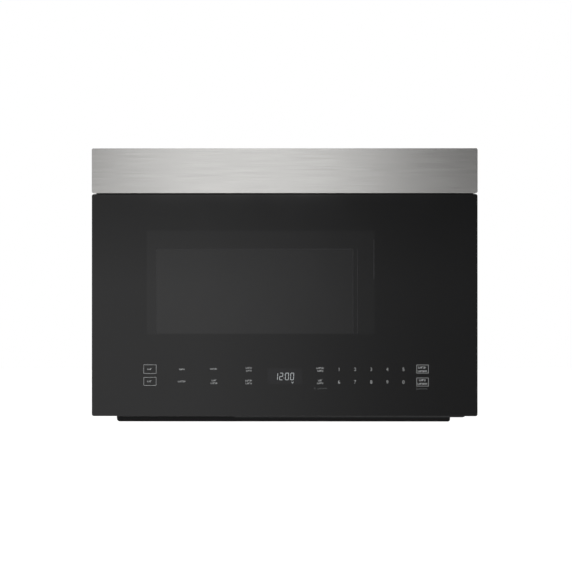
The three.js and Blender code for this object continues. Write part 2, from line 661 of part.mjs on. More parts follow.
function basePan() {
  const tub = solid(panTub(0, 0)).intersect(solid(panPlan(0, -1, PAN_FLANGE)));
  const flange = block(-caseHalf, caseHalf, frameFront, backFace, PAN_FLANGE - SHEET, PAN_FLANGE);
  const hollow = solid(panTub(SHEET, SHEET)).intersect(solid(panPlan(SHEET, 0, PAN_FLANGE)));
  const lift = panPlan(SHEET, PAN_FLANGE - 2 * SHEET, PAN_FLANGE + 1);
  const filters = [filterLeftX, filterRightX].map((x) => {
    const half = filterWidth / 2 + FILTER_FIT;
    return block(x - half, x + half, filterFront - FILTER_FIT, filterBack + FILTER_FIT, -1, SHEET + 1);
  });
  const lenses = [-1, 1].map((side) => {
    const x = side * lampX;
    return block(x - LENS_WIDTH / 2 - CLEAR, x + LENS_WIDTH / 2 + CLEAR, lensFront - CLEAR,
      lensFront + LENS_DEPTH + CLEAR, -1, SHEET + 1);
  });
  const slots = spread(PAN_SLOTS, PAN_SLOT_SPAN, -PAN_SLOT_BACK).map((y) =>
    block(panSlotX, panSlotX + PAN_SLOT_LONG, y - 2, y + 2, -1, SHEET + 1));
  return shown(cut(tub.add(solid(flange)).subtract(hollow), lift, ...filters, ...lenses, ...slots));
}

// An upright sheet on the pan's floor between the air intake and the electrics bay.
function bayDivider() {
  const x = cavityRight + SHEET + CLEAR;
  return block(x, x + SHEET, panFront + 12, panBack - 6, SHEET + CLEAR, portLow - 20);
}

// ---- Oven cavity and turntable ---------------------------------------------------------------------
// The oven box: open at the front, with rounded long edges, a pressed round well for the turntable, the
// microwave port, a lamp grille and a vent grille.
function ovenCavity() {
  const outer = rounded(THREE.Shape, cavityLeft - SHEET, cavityRight + SHEET, cavityFloor - SHEET,
    cavityTop + SHEET, CAVITY_CORNER + SHEET);
  const inner = rounded(THREE.Shape, cavityLeft, cavityRight, cavityFloor, cavityTop, CAVITY_CORNER);
  const shaftHole = bar('z', SHAFT_RADIUS + RUN, cavityFloor - SHEET - 1, cavityFloor + 1, cavityX, trayY,
      12);
  const port = block(cavityRight - 1, cavityRight + SHEET + 1, trayY - PORT_WIDTH / 2, trayY + PORT_WIDTH / 2,
    portLow, portLow + PORT_HEIGHT);
  const grille = (side, y) => spread(3, 16, cavityTop - 40).flatMap((z) =>
    spread(3, 24, y).map((yHole) => bar('x', 2.4, side - 3, side + 3, yHole, z, 6)));
  const shell = solid(frontCut(outer, cavityFront, cavityBack + SHEET, 3));
  const room = frontCut(inner, cavityFront - 1, cavityBack, 3);
  return shown(cut(shell, room, shaftHole, port, ...grille(cavityLeft, lampY),
      ...grille(cavityRight, lampY)));
}

// The sheet of mica over the port.
function micaCover() {
  const x = cavityRight - CLEAR;
  const half = PORT_WIDTH / 2 + MICA_MARGIN;
  return block(x - MICA_THICK, x, trayY - half, trayY + half, portLow - MICA_MARGIN,
    portLow + PORT_HEIGHT + MICA_MARGIN);
}

// The glass tray: flat, with a raised lip and a low ring of lugs underneath that takes the hub's star.
function glassTray() {
  const low = trayLow;
  const top = low + TRAY_THICK;
  const lip = low + TRAY_LIP + TRAY_THICK;
  const dish = turned([[0, low], [TRAY_RADIUS - 10, low], [TRAY_RADIUS - 3, low + 4], [TRAY_RADIUS, lip - 1],
    [TRAY_RADIUS - 1.5, lip], [TRAY_RADIUS - 4, lip - 1], [TRAY_RADIUS - 11, top], [0, top]], 32);
  const pockets = hubAngles().map((angle) =>
    turnedAbout(bar('z', STUD_RADIUS + 2 * CLEAR, low - 1, low + POCKET_DEEP, HUB_RADIUS - STUD_RADIUS, 0,
      12), angle));
  return shown(cut(solid(dish), ...pockets)).translate(cavityX, trayY, 0);
}

// A geometry turned by an angle in degrees about the upright axis through its own origin.
function turnedAbout(geometry, degrees) {
  return geometry.rotateZ(THREE.MathUtils.degToRad(degrees));
}

function hubAngles() {
  return Array.from({ length: HUB_ARMS }, (_, i) => (360 / HUB_ARMS) * i);
}

// The hub on the motor's shaft: a three-armed star on a round stem, with a stud on each arm for the tray.
function turntableHub() {
  const top = trayLow - CLEAR;
  const low = cavityFloor + CLEAR;
  const arms = hubAngles().map((angle) =>
    turnedAbout(block(0, HUB_RADIUS, -HUB_ARM_HALF, HUB_ARM_HALF, top - HUB_ARM, top), angle));
  const studs = hubAngles().map((angle) =>
    turnedAbout(bar('z', STUD_RADIUS, top - 1, trayLow + POCKET_DEEP - CLEAR, HUB_RADIUS - STUD_RADIUS, 0,
      12), angle));
  const stem = turned([[0, low], [HUB_STEM, low], [HUB_STEM - 1, top], [0, top]], 16);
  const socket = bar('z', SHAFT_RADIUS + CLEAR / 2, low - 1, top - 4, 0, 0, 12);
  return shown(cut(join(stem, ...arms, ...studs), socket)).translate(cavityX, trayY, 0);
}

// The motor under the cavity, with its shaft up through the floor.
function turntableMotor() {
  const top = cavityFloor - SHEET - CLEAR;
  const can = bar('z', MOTOR_RADIUS, top - MOTOR_LONG, top, cavityX, trayY, 28);
  const ears = block(cavityX - MOTOR_RADIUS - MOTOR_EAR, cavityX + MOTOR_RADIUS + MOTOR_EAR, trayY - 6,
      trayY + 6, top - 1.2, top);
  const shaft = bar('z', SHAFT_RADIUS, top - 1, trayLow - CLEAR - 5, cavityX, trayY, 12);
  const plug = block(cavityX - 9, cavityX + 9, trayY + MOTOR_RADIUS - 2, trayY + MOTOR_RADIUS + 8, top - 11,
      top - 3);
  return shown(join(can, ears, shaft, plug));
}

// The roller ring: a flat ring with a stub axle for each roller.
function rollerRing() {
  const z = cavityFloor + CLEAR + ROLLER_RADIUS;
  const outer = TRACK_RADIUS - ROLLER_WIDTH / 2 - 1;
  const ring = turned([[outer - 9, z - 2.5], [outer, z - 2.5], [outer, z + 2.5], [outer - 9, z + 2.5],
    [outer - 9, z - 2.5]], 30);
  const axles = rollerAngles().map((angle) =>
    turnedAbout(bar('x', AXLE_RADIUS, outer - 2, TRACK_RADIUS + ROLLER_WIDTH / 2 + 1, 0, z, 10), angle));
  return shown(join(ring, ...axles)).translate(cavityX, trayY, 0);
}

function roller(angle) {
  const wheel = turned([[AXLE_RADIUS + 0.25, -ROLLER_WIDTH / 2], [ROLLER_RADIUS - 1, -ROLLER_WIDTH / 2],
    [ROLLER_RADIUS, 1 - ROLLER_WIDTH / 2], [ROLLER_RADIUS, ROLLER_WIDTH / 2 - 1],
    [ROLLER_RADIUS - 1, ROLLER_WIDTH / 2], [AXLE_RADIUS + 0.25, ROLLER_WIDTH / 2],
    [AXLE_RADIUS + 0.25, -ROLLER_WIDTH / 2]], 14);
  wheel.rotateY(Math.PI / 2).translate(TRACK_RADIUS, 0, cavityFloor + CLEAR + ROLLER_RADIUS);
  return turnedAbout(wheel, angle).translate(cavityX, trayY, 0);
}

function rollerAngles() {
  return Array.from({ length: ROLLERS }, (_, i) => 90 + (360 / ROLLERS) * i);
}

// Lamp holder outside the cavity's lamp grille.
function cavityLamp() {
  const x = cavityLeft - SHEET - CLEAR;
  const z = cavityTop - 40;
  const holder = block(x - 24, x, lampY - 26, lampY + 26, z - 15, z + 15);
  const bulb = bar('x', 8, x - 40, x - 20, lampY, z, 14);
  const glow = block(x - 18, x + 1, lampY - 21, lampY + 21, z - 11, z + 11);
  return shown(cut(join(holder, bulb), glow));
}

// The disc thermostat on the cavity's top.
function thermostat() {
  const z = cavityTop + SHEET + CLEAR;
  const x = cavityX + DISC_X;
  const y = trayY - DISC_Y;
  const can = bar('z', DISC_RADIUS, z, z + DISC_RADIUS + 1, x, y, 16);
  const ears = block(x - DISC_EAR, x + DISC_EAR, y - DISC_RADIUS / 2, y + DISC_RADIUS / 2, z, z + 1);
  const tabs = [-1, 1].map((side) => x + side * DISC_RADIUS / 2).map((tab) =>
    block(tab - 0.4, tab + 0.4, y - DISC_RADIUS / 3, y + DISC_RADIUS / 3, z + DISC_RADIUS,
      z + 2 * DISC_RADIUS));
  return shown(join(can, ears, ...tabs));
}

// ---- Door ------------------------------------------------------------------------------------------
function doorGlass() {
  const half = FACE_WIDTH / 2;
  return frontCut(rounded(THREE.Shape, -half, half, glassLow, glassTop, GLASS_CORNER), glassFront, glassBack);
}

// The moulded frame behind the glass: window, pocket for the door steel, pocket for the touch board, latch
// channel, grip channel, and a notch for the hinges at both left corners.
function doorFrame() {
  const half = FACE_WIDTH / 2 - FRAME_INSET;
  const low = glassLow + FRAME_INSET;
  const top = glassTop - FRAME_INSET;
  const back = doorBack - CLEAR;
  const body = frontCut(rounded(THREE.Shape, -half, half, low, top, 3), boardFront, back);
  const window = block(windowLeft, windowRight, boardFront - 1, back, windowLow,
    windowLow + WINDOW_HEIGHT);
  const steel = block(steelLeft - CLEAR, steelRight + CLEAR, steelFront - CLEAR, back + 1, steelLow - CLEAR,
    steelTop + CLEAR);
  const board = block(boardLeft - CLEAR, boardRight + CLEAR, boardFront - 1, boardFront + BOARD_POCKET,
    boardLow - CLEAR, boardLow + BOARD_HEIGHT + CLEAR);
  const latch = block(latchLeft - CLEAR, latchRight + CLEAR, doorBack - LATCH_WELL, back + 1, latchLow,
      latchTop);
  const grip = block(gripLeft - CLEAR, gripRight + CLEAR, gripFront - CLEAR, gripFront + GRIP_DEPTH + CLEAR,
    low - 1, gripTop + CLEAR);
  const notches = [[low - 1, low + HINGE_NOTCH], [top - HINGE_NOTCH, top + 1]].map(([z0, z1]) =>
    block(-half - 1, hingeX + HINGE_NOTCH, boardFront - 1, back + 1, z0, z1));
  const pinHoles = hingePins().map(([z0, z1]) => bar('z', HINGE_PIN + CLEAR, z0 - 1, z1 + 1, hingeX, hingeY,
      16));
  const rear = outline([[-half - 1, back - DOOR_CHAMFER], [-half - 1, back + 1],
      [-half + DOOR_CHAMFER, back + 1]]);
  return shown(cut(solid(body), window, steel, board, latch, grip, ...notches, ...pinHoles,
    planCut(rear, low - 1, top + 1)));
}

// A long strip seen from the front, with tapered lower corners.
function gripStrip() {
  return outline([[gripLeft + GRIP_TAPER, gripLow], [gripRight - GRIP_TAPER, gripLow],
    [gripRight, gripLow + GRIP_TAPER / 2], [gripRight, gripTop], [gripLeft, gripTop],
    [gripLeft, gripLow + GRIP_TAPER / 2]]);
}

// The finger grip under the door: a strip of J section, with its lip just below the glass.
function doorGrip() {
  const skin = frontCut(gripStrip(), gripFront, gripFront + GRIP_DEPTH);
  const hollow = block(gripLeft + GRIP_WALL, gripRight - GRIP_WALL, gripFront + GRIP_WALL,
    gripFront + GRIP_DEPTH - GRIP_WALL, gripLow - 1, gripTop - GRIP_WALL);
  const short = block(gripLeft - 1, gripRight + 1, gripFront + GRIP_WALL, gripFront + GRIP_DEPTH + 1,
    gripLow - 1, glassLow + FRAME_INSET);
  return shown(cut(solid(skin), hollow, short));
}

// The pierced screen, drawn as its plain sheet with a pressed rim.
function doorScreen() {
  const sheet = rounded(THREE.Shape, steelLeft, steelRight, steelLow, steelTop, 2);
  const bead = rounded(THREE.Shape, screenLeft, screenRight, screenLow, screenTop, 4);
  const groove = frontCut(bead, steelFront - 1, steelFront + SCREEN_THICK / 2);
  return shown(cut(solid(frontCut(sheet, steelFront, steelFront + SCREEN_THICK)), groove));
}

// The door steel: a pan with a folded choke channel round it, slotted like a comb.
function doorSteel() {
  const front = steelFront + SCREEN_THICK + CLEAR;
  const back = coverFront - CLEAR;
  const body = block(steelLeft, steelRight, front, back, steelLow, steelTop);
  const inner = [steelLeft + CHOKE_WIDTH, steelRight - CHOKE_WIDTH, steelLow + CHOKE_WIDTH,
      steelTop - CHOKE_WIDTH];
  const eye = block(inner[0] + SHEET, inner[1] - SHEET, front - 1, back + 1, inner[2] + SHEET,
      inner[3] - SHEET);
  const channel = cut(solid(block(steelLeft + SHEET, steelRight - SHEET, front + SHEET, back + 1,
    steelLow + SHEET, steelTop - SHEET)), block(inner[0], inner[1], front, back + 2, inner[2], inner[3]));
  const long = inner[1] - inner[0] - 2 * CHOKE_SLOT_INSET;
  const combs = spread(CHOKE_SLOTS, long, (inner[0] + inner[1]) / 2).map((x) =>
    block(x - 2, x + 2, back - CHOKE_DEPTH / 2, back + 1, steelLow + CHOKE_WIDTH - 2,
      steelTop - CHOKE_WIDTH + 2));
  const high = inner[3] - inner[2] - 2 * CHOKE_SLOT_INSET;
  const sides = spread(CHOKE_SIDE_SLOTS, high, (inner[2] + inner[3]) / 2).map((z) =>
    block(inner[0] - 2, inner[1] + 2, back - CHOKE_DEPTH / 2, back + 1, z - 2, z + 2));
  return shown(cut(solid(body).subtract(channel), eye, ...combs, ...sides));
}

// The clear inner window, seated in the steel's eye.
function innerWindow() {
  const inset = CHOKE_WIDTH + SHEET + CLEAR;
  return block(steelLeft + inset, steelRight - inset, coverFront - INNER_GLASS, coverFront,
    steelLow + inset, steelTop - inset);
}

// The plastic cover over the choke channel.
function chokeCover() {
  const ring = rounded(THREE.Shape, steelLeft + CLEAR, steelRight - CLEAR, steelLow + CLEAR,
      steelTop - CLEAR, 2);
  const lap = CHOKE_WIDTH + COVER_LAP;
  ring.holes.push(rounded(THREE.Path, steelLeft + lap, steelRight - lap, steelLow + lap, steelTop - lap, 5));
  return frontCut(ring, coverFront + CLEAR, doorBack - CLEAR);
}

// The touch board behind the glass, with a sprung pad for each key.
function touchBoard() {
  const front = boardFront + PAD_HEIGHT;
  const sheet = block(boardLeft, boardRight, front, front + BOARD_THICK, boardLow, boardLow + BOARD_HEIGHT);
  const bay = block(displayLow[0] - 2, displayHigh[0] + 2, front - 1, front + BOARD_THICK + 1,
      displayLow[1] - 2,
    displayHigh[1] + 2);
  const pads = keyPlaces().map(([x, z]) => bar('y', KEY_PAD_RADIUS, boardFront, front + 0.5, x, z, 6));
  const chips = spread(CHIPS, boardLong * CHIP_SHARE, (boardLeft + boardRight) / 2).map((x) =>
    block(x - CHIP_SIZE / 2, x + CHIP_SIZE / 2, front + BOARD_THICK - 0.1, front + BOARD_THICK + 2.2,
      boardLow + CHIP_SIZE / 2, boardLow + 1.5 * CHIP_SIZE));
  return shown(cut(solid(sheet), bay).add(pads.concat(chips).map(solid)
    .reduce((sum, next) => sum.add(next))));
}

// The clock display: a black box with a window in front.
function displayModule() {
  const [x0, z0] = displayLow;
  const [x1, z1] = displayHigh;
  const box = block(x0, x1, boardFront, boardFront + DISPLAY_DEEP, z0, z1);
  const bay = block(x0 + 3, x1 - 3, boardFront - 1, boardFront + 1.5, z0 + 3, z1 - 3);
  return shown(cut(solid(box), bay));
}

// The places of the touch keys: digits in two rows, and the other keys in two rows beside them.
function keyPlaces() {
  const rows = Array.from({ length: KEY_ROWS }, (_, row) => digitZ - row * KEY_PITCH_Z);
  const along = (share) => boardLeft + boardLong * share;
  const digits = Array.from({ length: KEY_DIGITS }, (_, i) => along(KEY_DIGIT_START + i * KEY_PITCH));
  const words = Array.from({ length: 3 }, (_, i) => along(KEY_WORD_START + i * KEY_WORD_PITCH));
  const others = [boardLeft + KEY_END, ...words, along(KEY_OPTION), boardRight - KEY_END];
  return rows.flatMap((z) => [...digits, ...others].map((x) => [x, z]));
}

// The latch: an upright bar with two hooks that reach back through the front frame.
function latchBar() {
  const x0 = latchX - LATCH_THICK / 2;
  const x1 = latchX + LATCH_THICK / 2;
  const y = doorBack - LATCH_WELL + LATCH_SEAT;
  const [low, high] = hookHeights();
  const spine = block(x0, x1, y, y + LATCH_BAR, low - LATCH_END, high + LATCH_END);
  const tip = doorBack + LATCH_REACH;
  const hooks = [low, high].map((z) => sideCut(outline([[y + 1, z - LATCH_BAR / 2],
    [tip - 9, z - LATCH_BAR / 2], [tip - 9, z - LATCH_BAR / 2 - 3], [tip - 4, z - LATCH_BAR / 2 - 3],
    [tip, z], [tip - 3, z + LATCH_BAR / 2],
    [y + 1, z + LATCH_BAR / 2]]), x0, x1));
  return shown(join(spine, ...hooks));
}

// The plate that closes the latch channel, slotted for the hooks.
function latchCover() {
  const y1 = doorBack - CLEAR;
  const plate = block(latchLeft, latchRight, y1 - COVER_THICK, y1, latchLow + CLEAR, latchTop - CLEAR);
  const slots = hookHeights().map((z) => block(latchX - LATCH_THICK / 2 - RUN, latchX + LATCH_THICK / 2 + RUN,
    y1 - COVER_THICK - 1, y1 + 1, z - LATCH_BAR / 2 - 4, z + LATCH_BAR / 2 + LATCH_TRAVEL + 1));
  return shown(cut(solid(plate), ...slots));
}

// A coil spring that pulls the latch bar down.
class Helix extends THREE.Curve {
  constructor(x, y, low, high) {
    super();
    Object.assign(this, { x, y, low, high });
  }

  getPoint(t, target = new THREE.Vector3()) {
    const angle = 2 * Math.PI * SPRING_TURNS * t;
    return target.set(this.x + SPRING_RADIUS * Math.cos(angle), this.y + SPRING_RADIUS * Math.sin(angle),
      this.low + (this.high - this.low) * t);
  }
}

function latchSpring() {
  const high = hookHeights()[0] - LATCH_END - CLEAR - SPRING_WIRE;
  const path = new Helix(latchX, doorBack - LATCH_WELL + LATCH_SEAT + LATCH_BAR / 2, high - SPRING_LENGTH,
      high);
  const wire = outline([0, 1, 2, 3, 4].map((i) => [SPRING_WIRE * Math.cos(0.4 * Math.PI * i),
    SPRING_WIRE * Math.sin(0.4 * Math.PI * i)]));
  return new THREE.ExtrudeGeometry(wire, { steps: SPRING_TURNS * 8, extrudePath: path, bevelEnabled: false });
}

// A hinge bracket: a leaf on the front frame, a tongue forward and a pin into the door frame.
function hingeBracket(upper) {
  const [z0, z1] = hingePins()[upper ? 1 : 0];
  const way = upper ? 1 : -1; // from the pin's seat towards the leaf's end
  const face = upper ? glassTop - FRAME_INSET - HINGE_NOTCH : glassLow + FRAME_INSET + HINGE_NOTCH;
  const near = face + way * CLEAR;
  const far = near + way * HINGE_LEAF;
  const end = near + way * (HINGE_NOTCH - 4);
  const order = (a, b) => [Math.min(a, b), Math.max(a, b)];
  const back = frameFront - CLEAR;
  const neck = block(hingeX - HINGE_WIDTH / 2, hingeX + HINGE_WIDTH / 2, hingeY, back, ...order(near, far));
  const eye = bar('z', HINGE_WIDTH / 2 + 1, ...order(near, far), hingeX, hingeY, 20);
  const leaf = block(hingeX - HINGE_WIDTH / 2, hingeX + HINGE_WIDTH + 4, back - HINGE_LEAF, back,
      ...order(near, end));
  const pin = bar('z', HINGE_PIN, z0, z1, hingeX, hingeY, 16);
  return shown(join(neck, eye, leaf, pin));
}

// The two hinge pins' lowest and highest points, the lower one first.
function hingePins() {
  const low = glassLow + FRAME_INSET + HINGE_NOTCH;
  const high = glassTop - FRAME_INSET - HINGE_NOTCH;
  return [[low - CLEAR - HINGE_LEAF, low + HINGE_PIN_LONG],
      [high - HINGE_PIN_LONG, high + CLEAR + HINGE_LEAF]];
}

// ---- Exhaust blower and air ------------------------------------------------------------------------
// A blower wheel: a disc at its middle, forward-curved blades round it and a ring at each end.
function blowerWheel(x0) {
  const inner = WHEEL_RADIUS - BLADE_DEPTH;
  const blade = new THREE.Shape();
  const lean = BLADE_DEPTH * BLADE_LEAN;
  blade.moveTo(inner + 0.5, 0);
  blade.quadraticCurveTo(inner + BLADE_DEPTH * 0.6, 0.5, WHEEL_RADIUS - 0.4, lean);
  blade.lineTo(WHEEL_RADIUS - 0.4, lean + BLADE_THICK * 1.3);
  blade.quadraticCurveTo(inner + BLADE_DEPTH * 0.5, BLADE_THICK + 1.4, inner + 0.5, BLADE_THICK);
  const blades = Array.from({ length: WHEEL_BLADES }, (_, i) =>
    turnedAbout(planCut(blade, 0.4, WHEEL_WIDTH - 0.4, 2), (360 / WHEEL_BLADES) * i));
  const ring = (z) => turned([[inner, z], [WHEEL_RADIUS, z], [WHEEL_RADIUS, z + 2.5], [inner, z + 2.5],
    [inner, z]], WHEEL_BLADES);
  const disc = turned([[0, 0], [inner + 3, 0], [inner + 3, 2], [14, 6], [9, 6], [9, 16], [0, 16]],
      WHEEL_BLADES)
    .translate(0, 0, WHEEL_WIDTH / 2 - 2);
  const bore = bar('z', BLOWER_SHAFT + 0.1, -1, WHEEL_WIDTH + 1, 0, 0, 12);
  const wheel = cut(join(ring(0), ring(WHEEL_WIDTH - 2.5), disc, ...blades), bore);
  return shown(wheel).rotateY(Math.PI / 2).translate(x0, blowerY, blowerZ);
}

// The scroll's outline seen from the right: a spiral round the wheel that opens into an upright mouth.
function scrollOutline(grow, top) {
  const points = Array.from({ length: SCROLL_STEPS + 1 }, (_, i) => {
    const share = i / SCROLL_STEPS;
    const angle = -THREE.MathUtils.degToRad(SCROLL_TURN) * (1 - share);
    const radius = scrollRadius(share) + grow;
    return [blowerY + radius * Math.cos(angle), blowerZ + radius * Math.sin(angle)];
  });
  const tongue = points[0];
  return outline([[tongue[0] - grow, top], ...points, [blowerY + SCROLL_END + grow, top]]);
}

// One side of the blower's housing: a sheet scroll with an eye on each flat side.
function blowerScroll(x0) {
  const top = caseTop - SHEET - CLEAR;
  const skin = sideCut(scrollOutline(SHEET, top), x0, x0 + scrollRun);
  const air = sideCut(scrollOutline(0, top + 1), x0 + SHEET, x0 + scrollRun - SHEET);
  const eye = bar('x', WHEEL_RADIUS - BLADE_DEPTH + 2, x0 - 1, x0 + scrollRun + 1, blowerY, blowerZ, 24);
  return shown(cut(solid(skin), air, eye));
}

// The motor between the scrolls, on a foot down to the cavity's top.
function blowerMotor() {
  const half = BLOWER_MOTOR_LONG / 2;
  const can = bar('x', BLOWER_MOTOR_RADIUS, blowerX - half + 6, blowerX + half - 6, blowerY, blowerZ, 32);
  const bells = bar('x', BLOWER_MOTOR_RADIUS - 9, blowerX - half, blowerX + half, blowerY, blowerZ, 24);
  const bore = bar('x', BLOWER_SHAFT + CLEAR, blowerX - half - 1, blowerX + half + 1, blowerY, blowerZ, 12);
  const seat = cavityTop + SHEET + CLEAR;
  const foot = block(blowerX - 26, blowerX + 26, blowerY - 16, blowerY + 16, seat,
      blowerZ - BLOWER_MOTOR_RADIUS + 3);
  const base = block(blowerX - 32, blowerX + 32, blowerY - 30, blowerY + 30, seat, seat + 1.5);
  return shown(cut(join(can, bells, foot, base), bore));
}

// The shaft that both wheels are pressed on.
function blowerShaft() {
  const reach = BLOWER_MOTOR_LONG / 2 + RUN + SCROLL_SIDE + WHEEL_WIDTH - 8;
  return bar('x', BLOWER_SHAFT, blowerX - reach, blowerX + reach, blowerY, blowerZ, 12);
}

// The charcoal filter behind the band, with its granules showing as a grid of pads.
function charcoalFilter() {
  const half = CHARCOAL_WIDTH / 2 - CLEAR;
  const y0 = frameBack + CLEAR;
  const body = block(-half, half, y0, y0 + CHARCOAL_THICK, charcoalLow, charcoalTop);
  const middle = (charcoalLow + charcoalTop) / 2;
  const cells = spread(CHARCOAL_CELLS, 2 * half - 50).flatMap((x) => spread(2, 26, middle)
    .map((z) => block(x - 15, x + 15, y0 - 1, y0 + 2.5, z - 10, z + 10)));
  return shown(cut(solid(body), ...cells));
}

// A grease filter: an aluminium frame round a mesh, with a pull ring at its front edge.
function greaseFilter(x) {
  const half = filterWidth / 2;
  const frame = block(x - half, x + half, filterFront, filterBack, 0, FILTER_THICK);
  const rim = FILTER_RIM;
  const face = (z0, z1) => block(x - half + rim, x + half - rim, filterFront + rim, filterBack - rim, z0, z1);
  const cells = spread(FILTER_CELLS, filterWidth - 2 * rim - 16, x).flatMap((cx) =>
    spread(FILTER_ROWS, FILTER_DEPTH - 2 * rim - 16, (filterFront + filterBack) / 2).map((cy) =>
      block(cx - 5, cx + 5, cy - 5, cy + 5, 1, FILTER_THICK - 1)));
  const ring = turned([[4, 0], [6.5, 0], [6.5, 1.2], [4, 1.2], [4, 0]], 12)
    .translate(x, filterFront + rim + 4, 1.4);
  return shown(cut(solid(frame), face(-1, 2), face(FILTER_THICK - 2, FILTER_THICK + 1),
      ...cells).add(solid(ring)));
}

// A lamp lens: a ribbed clear plate in the pan's floor, with a lip that rests on it.
function lampLens(x) {
  const half = LENS_WIDTH / 2;
  const plate = block(x - half, x + half, lensFront, lensFront + LENS_DEPTH, 0, LENS_THICK);
  const lip = block(x - half - 4, x + half + 4, lensFront - 4, lensFront + LENS_DEPTH + 4, SHEET + CLEAR,
      LENS_THICK);
  const ribs = spread(LENS_RIBS, LENS_WIDTH - 12, x).map((cx) =>
    block(cx - 1.5, cx + 1.5, lensFront + 3, lensFront + LENS_DEPTH - 3, -1, 0.8));
  return shown(cut(join(plate, lip), ...ribs));
}

// The lamp behind each lens: an open tray with its row of diodes.
function lampModule(x) {
  const low = LENS_THICK + CLEAR;
  const half = LENS_WIDTH / 2 + 3;
  const tray = block(x - half, x + half, lensFront - 3, lensFront + LENS_DEPTH + 3, low, low + LAMP_HEIGHT);
  const bay = block(x - half + 1.5, x + half - 1.5, lensFront - 1.5, lensFront + LENS_DEPTH + 1.5, low - 1,
    low + LAMP_HEIGHT - 2);
  const middle = lensFront + LENS_DEPTH / 2;
  const diodes = spread(3, LENS_WIDTH - 30, x).map((cx) =>
    block(cx - 3, cx + 3, middle - 3, middle + 3, low + LAMP_HEIGHT - 3.5, low + LAMP_HEIGHT - 1));
  return shown(cut(solid(tray), bay).add(join(...diodes)));
}

// ---- Electrics -------------------------------------------------------------------------------------
// The waveguide: a sheet box on the cavity's side, open to the port below and to the magnetron above.
function waveguide() {
  const x0 = guideLeft;
  const x1 = guideLeft + GUIDE_DEPTH;
  const half = PORT_WIDTH / 2 + SHEET;
  const low = portLow - SHEET;
  const duct = block(x0, x1, trayY - half, trayY + half, low, low + GUIDE_HEIGHT);
  const air = block(x0 + SHEET, x1 - SHEET, trayY - half + SHEET, trayY + half - SHEET, low + SHEET,
    low + GUIDE_HEIGHT - SHEET);
  const port = block(x0 - 1, x0 + SHEET + 1, trayY - half + SHEET, trayY + half - SHEET, portLow,
      portLow + PORT_HEIGHT);
  const feed = bar('x', 12, x1 - SHEET - 1, x1 + 1, trayY, antennaZ, 16);
  return shown(cut(solid(duct), air, port, feed));
}

// The magnetron: a steel yoke round a stack of cooling fins, its antenna in the waveguide.
function magnetron() {
  const x0 = guideLeft + GUIDE_DEPTH + CLEAR;
  const x1 = x0 + MAGNETRON_WIDTH;
  const y = [trayY - MAGNETRON_DEPTH / 2, trayY + MAGNETRON_DEPTH / 2];
  const z = [antennaZ - MAGNETRON_HEIGHT / 2, antennaZ + MAGNETRON_HEIGHT / 2];
  const yoke = cut(solid(block(x0, x1, ...y, ...z)),
    block(x0 + 2, x1 - 2, y[0] - 1, y[1] + 1, z[0] + 2, z[1] - 2));
  const fins = spread(MAGNETRON_FINS, MAGNETRON_WIDTH - 40, (x0 + x1) / 2).map((x) =>
    block(x - FIN_THICK / 2, x + FIN_THICK / 2, y[0] + 4, y[1] - 4, z[0] + 1, z[1] - 1));
  const tube = bar('x', 19, x0 + 1, x1 - 1, trayY, antennaZ, 20);
  const antenna = bar('x', 8, x0 - GUIDE_DEPTH * 0.55, x0 + 1, trayY, antennaZ, 14);
  const box = block(x1 - 1, x1 + FILTER_BOX, trayY - 26, trayY + 26, antennaZ - 22, antennaZ + 22);
  return shown(yoke.add(join(tube, antenna, box, ...fins)));
}

// The fan's shroud: a square ring on the back panel, with a spider that carries the motor.
function fanShroud() {
  const half = SHROUD_SIZE / 2;
  const y0 = fanBack - SHROUD_DEPTH;
  const square = rounded(THREE.Shape, fanX - half, fanX + half, fanZ - half, fanZ + half, 8);
  const bore = bar('y', FAN_RADIUS + RUN, y0 - 1, fanBack + 1, fanX, fanZ, 32);
  const spider = [[half, 5], [5, half]].map(([dx, dz]) =>
    block(fanX - dx + 2, fanX + dx - 2, y0, y0 + 3, fanZ - dz + 2, fanZ + dz - 2));
  const hub = bar('y', 16, y0, y0 + 3, fanX, fanZ, 16);
  const eye = bar('y', 5, y0 - 1, y0 + 4, fanX, fanZ, 12);
  return shown(cut(cut(solid(frontCut(square, y0, fanBack)), bore).add(join(hub, ...spider)), eye));
}

// The cooling fan: a hub with pitched blades.
function coolingFan() {
  const y1 = fanBack - RUN;
  const y0 = y1 - FAN_DEPTH;
  const hub = bar('y', FAN_HUB, y0, y1, 0, 0, 20);
  const bore = bar('y', FAN_SHAFT + 0.15, y0 - 1, y0 + 10, 0, 0, 10);
  const blade = () => {
    const paddle = new THREE.Shape();
    paddle.moveTo(FAN_HUB - 2, -6);
    paddle.quadraticCurveTo(FAN_RADIUS * 0.7, -20, FAN_RADIUS - 1, -14);
    paddle.quadraticCurveTo(FAN_RADIUS + 0.5, 2, FAN_RADIUS - 3, 14);
    paddle.quadraticCurveTo(FAN_RADIUS * 0.6, 15, FAN_HUB - 2, 6);
    return frontCut(paddle, -0.8, 0.8, 3).rotateX(FAN_PITCH).translate(0, (y0 + y1) / 2, 0);
  };
  const blades = Array.from({ length: FAN_BLADES },
      (_, i) => blade().rotateY((2 * Math.PI * i) / FAN_BLADES));
  return shown(cut(join(hub, ...blades), bore)).translate(fanX, 0, fanZ);
}

// The fan's motor: a laminated frame with its winding on one side, and the shaft to the fan.
function fanMotor() {
  const y1 = fanBack - SHROUD_DEPTH - CLEAR;
  const y0 = y1 - FAN_MOTOR_LONG;
  const half = FAN_MOTOR_SIZE / 2;
  const core = block(fanX - half, fanX + half, y0 + 8, y1 - 6, fanZ - half * 0.7, fanZ + half * 0.7);
  const boss = bar('y', 14, y0, y1, fanX, fanZ, 16);
  const coil = rounded(THREE.Shape, fanX + half - 14, fanX + half + 9, fanZ - 15, fanZ + 15, 6);
  const shaft = bar('y', FAN_SHAFT, y1 - 1, fanBack - RUN - FAN_DEPTH + 9, fanX, fanZ, 10);
  return shown(join(core, boss, frontCut(coil, y0 + 3, y1 - 2), shaft));
}

